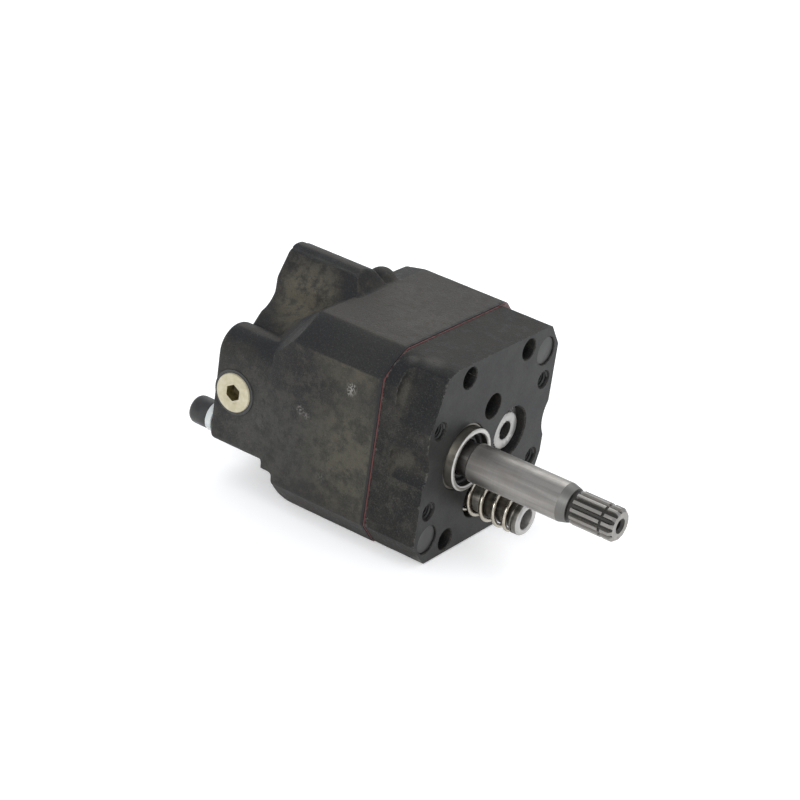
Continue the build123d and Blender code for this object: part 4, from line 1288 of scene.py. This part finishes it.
# The pump
@dataclass
class Pump:
    """All sub-assemblies of the pump."""

    patches: tuple[ColourPatch, ...] = (
        ColourPatch((-0.055, -0.0435, -0.010), 0.052, (0.075, 0.070, 0.050), 0.75),
        ColourPatch((-0.056, 0.020, 0.066), 0.030, (0.088, 0.082, 0.070), 0.7),
        ColourPatch((-0.085, 0.045, 0.066), 0.026, (0.075, 0.069, 0.058), 0.6),
        ColourPatch((-0.060, -0.0435, 0.037), 0.0050, (0.30, 0.29, 0.27), 0.9),
        ColourPatch((-0.061, -0.0435, 0.034), 0.0040, (0.26, 0.25, 0.23), 0.7),
        ColourPatch((-0.096, -0.0435, 0.008), 0.0042, (0.20, 0.19, 0.175), 0.8),
        ColourPatch((-0.091, -0.0435, 0.006), 0.0034, (0.17, 0.16, 0.15), 0.8),
        ColourPatch((-0.126, -0.0435, -0.012), 0.0045, (0.10, 0.10, 0.095), 0.6),
        ColourPatch((-0.075, -0.0435, -0.030), 0.0050, (0.10, 0.098, 0.09), 0.5),
        ColourPatch((-0.062, -0.036, 0.055), 0.034, (0.070, 0.064, 0.045), 0.7),
        # Painted light: brown brightening on the lobe's lit flank.
        ColourPatch((-0.138, 0.008, 0.052), 0.034, (0.085, 0.077, 0.056), 1.0),
        # Painted shade: dark blue patches on the lobe's crown and under its shoulder.
        ColourPatch((-0.116, -0.012, 0.056), 0.022, (0.007, 0.0078, 0.0095), 1.0),
        ColourPatch((-0.126, -0.036, 0.035), 0.018, (0.008, 0.009, 0.011), 0.9),
        ColourPatch((-0.120, -0.0435, -0.020), 0.060, (0.048, 0.047, 0.043), 0.8),
    )
    plate_patches: tuple[ColourPatch, ...] = (
        ColourPatch((-0.019, -0.039, 0.003), 0.014, (0.060, 0.055, 0.043), 0.8),
        ColourPatch((-0.010, -0.039, -0.005), 0.012, (0.042, 0.039, 0.031), 0.6),
        # Dusty colour with painted light on the scallop in the plate's side.
        ColourPatch((-0.0265, -0.037, 0.046), 0.011, (0.055, 0.051, 0.042), 0.8),
        ColourPatch((-0.0255, -0.037, 0.036), 0.009, (0.055, 0.051, 0.042), 0.7),
        ColourPatch((-0.018, -0.024, 0.0655), 0.011, (0.085, 0.082, 0.074), 0.7),
        ColourPatch((-0.030, -0.028, 0.064), 0.006, (0.14, 0.135, 0.125), 0.6),
        ColourPatch((-0.002, -0.031, -0.066), 0.008, (0.16, 0.155, 0.145), 0.8),
        ColourPatch((-0.010, -0.040, -0.062), 0.006, (0.12, 0.115, 0.105), 0.6),
    )
    shaft: tuple[Station, ...] = (
        (-136.0, 0.0), (-136.0, 10.95), (-112.0, 10.95), (-112.0, 12.0), (-110.9, 12.0),
        (-110.9, 10.8), (-109.3, 10.8), (-109.3, 12.0), (-106.0, 12.0), (-106.0, 13.0),
        (-16.0, 13.0), (-16.0, 14.0), (-3.8, 14.0), (-3.8, 11.0), (9.0, 11.0), (9.0, 11.6),
        (10.1, 12.7), (75.5, 12.7), (80.5, 11.4), (81.5, 11.0), (82.0, 9.3), (82.8, 8.7),
        (84.5, 8.7), (84.5, 10.9), (104.6, 10.9), (104.6, 10.0), (106.4, 10.0), (106.4, 10.9),
        (112.3, 10.9), (114.3, 9.2), (114.3, 5.0), (112.5, 3.2), (102.3, 3.2), (102.3, 0.0),
    )
    sleeve: tuple[Station, ...] = (
        (-16.0, 17.5), (-16.0, 21.99), (-0.8, 21.99), (-0.8, 20.75), (5.3, 20.75),
        (6.0, 20.05), (6.0, 18.2), (5.3, 17.5),
    )
    seal: tuple[Station, ...] = (
        (-3.6, 11.2), (-3.6, 17.49), (1.6, 17.49), (1.6, 15.8), (0.9, 15.3), (-1.6, 15.0),
        (-1.9, 14.2), (-0.9, 13.6), (0.6, 13.2), (0.6, 12.0), (-0.9, 11.2),
    )
    adjuster_axis: tuple[float, float] = (-32.7, -28.4)
    adjuster: tuple[Station, ...] = (
        (-185.0, 0.0), (-185.0, 5.0), (-184.66, 6.72), (-183.68, 8.18), (-182.22, 9.16),
        (-180.5, 9.5), (-169.7, 9.5), (-169.7, 7.45), (-164.0, 7.45), (-164.0, 0.0),
    )
    collar: tuple[Station, ...] = (
        (-169.6, 7.5), (-169.6, 9.9), (-165.0, 9.9), (-165.0, 7.5),
    )

    def castings(self) -> None:
        """Cast and machine the housing and the plate."""
        MainHousing("main_housing", "housing_casting", "housing_paint",
                    CastFinish("housing_oxide", patches=self.patches, joint_x=-0.0388),
                    soften=14, stretch=((-0.0388, -0.0340),)).build()
        FrontPlate("front_plate", "front_plate_casting", "plate_iron",
                   CastFinish("plate_oxide", dark=(0.010, 0.010, 0.010),
                              pale=(0.019, 0.0185, 0.0165), dust_and_top_light=(0.040, 0.038, 0.033),
                              dust_and_light_on_top=0.35, gloss=0.15, machined_x=0.0,
                              patches=self.plate_patches),
                   voxel=0.0008, soften=3, triangles=130_000,
                   stretch=((0.0, 0.004), (-0.038, -0.042))).build()

    def steelwork(self) -> None:
        """Dress the shaft, the sleeve, the idler and the other bright parts."""
        ground = SteelFinish("ground_shaft_steel").build()
        sleeve = SteelFinish("ground_sleeve_steel", bright=(0.50, 0.49, 0.47),
                             tint_share=0.2, reflection_streaks=0.1).build()
        idler = SteelFinish("ground_idler_steel", bright=(0.43, 0.425, 0.41), rough=(0.4, 0.52),
                            tint_share=0.2, reflection_streaks=0.15).build()
        inner = SteelFinish("inner_steel", bright=(0.5, 0.49, 0.48)).build()
        bronze = SteelFinish("bearing_bronze", bright=(0.56, 0.38, 0.19),
                             tint=(0.32, 0.2, 0.09)).build()
        drawn = SteelFinish("drawn_wire", bright=(0.3, 0.29, 0.28)).build()
        black = CoatFinish("phosphate_black", (0.016, 0.016, 0.0165), (0.026, 0.026, 0.026),
                           metallic=0.1, rough=(0.36, 0.5)).build()
        disc = CoatFinish("core_plug_steel", (0.026, 0.026, 0.025), (0.040, 0.040, 0.038),
                          metallic=0.2, rough=(0.36, 0.5)).build()
        rubber = CoatFinish("seal_rubber", (0.016, 0.016, 0.016), (0.022, 0.022, 0.022),
                            rough=(0.5, 0.7)).build()
        nylon = CoatFinish("white_nylon", (0.55, 0.55, 0.54), (0.47, 0.47, 0.46),
                           rough=(0.4, 0.55), subsurface=0.1).build()
        sealant = SealantSqueeze()
        red = sealant.finish.build()
        parts = (
            SplinedShaft("input_shaft", Body.ROTATING, "shaft_steel", ground, self.shaft,
                         smooth=12.0),
            Sleeve("front_bearing_sleeve", Body.CASING, "ground_steel", sleeve, self.sleeve),
            TurnedPart("shaft_seal", Body.CASING, "seal_rubber", rubber, self.seal),
            FinishedCopy("charge_idler_gear", Body.IDLER, "gear_steel", idler, bevel=0.0),
            TurnedPart("adjuster_body", Body.CASING, "black_screws", black, self.adjuster,
                       self.adjuster_axis),
            TurnedPart("nylon_washer", Body.CASING, "white_nylon", nylon, self.collar,
                       self.adjuster_axis, bevel=0.0008),
            CompensatorSpring("compensator_spring", Body.CASING, "spring_steel", drawn,
                              bevel=0.0),
            FinishedCopy("control_bore_plug", Body.CASING, "black_screws", black),
            FinishedCopy("housing_bolts", Body.CASING, "black_screws", black),
            FinishedCopy("core_plugs", Body.CASING, "plug_steel", disc),
        )
        for part in parts:
            part.build()
        sealant.build(red)
        # Painted shade: the threads in the tapped holes are near black.
        thread_shade = CoatFinish("thread_painted_shade", (0.007, 0.007, 0.007), (0.013, 0.013, 0.012),
                            rough=(0.4, 0.6)).build()
        TappedThreads().build(thread_shade)
        by_slot = {
            "inner_steel": inner, "bearing_steel": inner, "gear_steel": inner,
            "spring_steel": drawn, "block_bronze": bronze, "seal_rubber": rubber,
            "gasket_sealant": red, "black_screws": black, "white_nylon": nylon,
        }
        for row in frame["record"]["subparts"]:
            node = frame["nodes"][row["node"]]
            if not node.hide_render and row["material_slot"] in by_slot:
                Workbench.dress(node, by_slot[row["material_slot"]])

    def build(self) -> None:
        """Build everything."""
        self.castings()
        self.steelwork()
        ReliefValve().build()
        SidePlug().build()


@dataclass
class Studio:
    """A pale floor, soft lights and the camera."""

    azimuth: float = 32.423
    elevation: float = 25.612
    roll: float = -8.334
    place: Place = (0.74226, -1.25081, 0.72889)
    lens: float = 118.806
    sensor: float = 36.0
    floor_z: float = -0.0665
    floor_size: float = 8.0
    aim: Place = (-0.03, 0.02, 0.0)
    air: tuple[float, float, float, float] = (0.95, 0.97, 1.0, 1.0)
    air_strength: float = 0.85
    lights: tuple[tuple[str, Place, float, float], ...] = (
        ("back_soft", (-0.5, 1.3, 1.4), 1.2, 10.0),
        ("left_soft", (0.3, -1.5, 0.9), 0.7, 10.0),
        ("right_soft", (1.5, 0.2, 0.6), 0.9, 3.0),
    )

    def camera(self) -> None:
        """Set up the camera."""
        a, e, r = (math.radians(v) for v in (self.azimuth, self.elevation, self.roll))
        back = Vector((math.sin(a) * math.cos(e), -math.cos(a) * math.cos(e), math.sin(e)))
        right = Vector((math.cos(a), math.sin(a), 0.0))
        up = back.cross(right)
        tilted_right = math.cos(r) * right - math.sin(r) * up
        tilted_up = math.sin(r) * right + math.cos(r) * up
        data = bpy.data.cameras.new("camera")
        data.lens = self.lens
        data.sensor_width = self.sensor
        camera = bpy.data.objects.new("camera", data)
        bpy.context.scene.collection.objects.link(camera)
        turn = Matrix((tilted_right, tilted_up, back)).transposed().to_4x4()
        camera.matrix_world = Matrix.Translation(self.place) @ turn
        bpy.context.scene.camera = camera

    def floor(self) -> None:
        """Lay the floor."""
        Workbench.clear()
        bpy.ops.mesh.primitive_plane_add(size=self.floor_size, location=(0, 0, self.floor_z))
        plane = bpy.context.object
        plane.name = "floor"
        sheet = NodeSheet("floor_paper")
        Workbench.dress(plane, sheet.done(Base_Color=(0.93, 0.93, 0.93), Roughness=0.9,
                                          Specular_IOR_Level=0.1, Emission_Strength=0.3,
                                          Emission_Color=(1.0, 1.0, 1.0)))

    def light(self, name: str, place: Place, size: float, watts: float) -> None:
        """Hang one square soft light that faces the pump.

        Args:
            name: The light's name.
            place: Where it hangs, in metres.
            size: Its side.
            watts: Its power.
        """
        data = bpy.data.lights.new(name, "AREA")
        data.shape = "SQUARE"
        data.size = size
        data.energy = watts
        lamp = bpy.data.objects.new(name, data)
        lamp.location = place
        back = Vector(place) - Vector(self.aim)
        lamp.rotation_euler = back.to_track_quat("Z", "Y").to_euler()
        bpy.context.scene.collection.objects.link(lamp)

    def build(self) -> None:
        """Set the stage."""
        scene = bpy.context.scene
        scene.view_settings.view_transform = "Standard"
        world = bpy.data.worlds.new("studio_air")
        world.use_nodes = True
        background = world.node_tree.nodes["Background"]
        background.inputs["Color"].default_value = self.air
        background.inputs["Strength"].default_value = self.air_strength
        scene.world = world
        self.camera()
        self.floor()
        for name, place, size, watts in self.lights:
            self.light(name, place, size, watts)


def main() -> None:
    """Build the pump and its stage."""
    logging.basicConfig(level=logging.INFO, format="%(name)s %(message)s")
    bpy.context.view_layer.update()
    Studio().build()
    Pump().build()


if __name__ == "__main__":
    main()
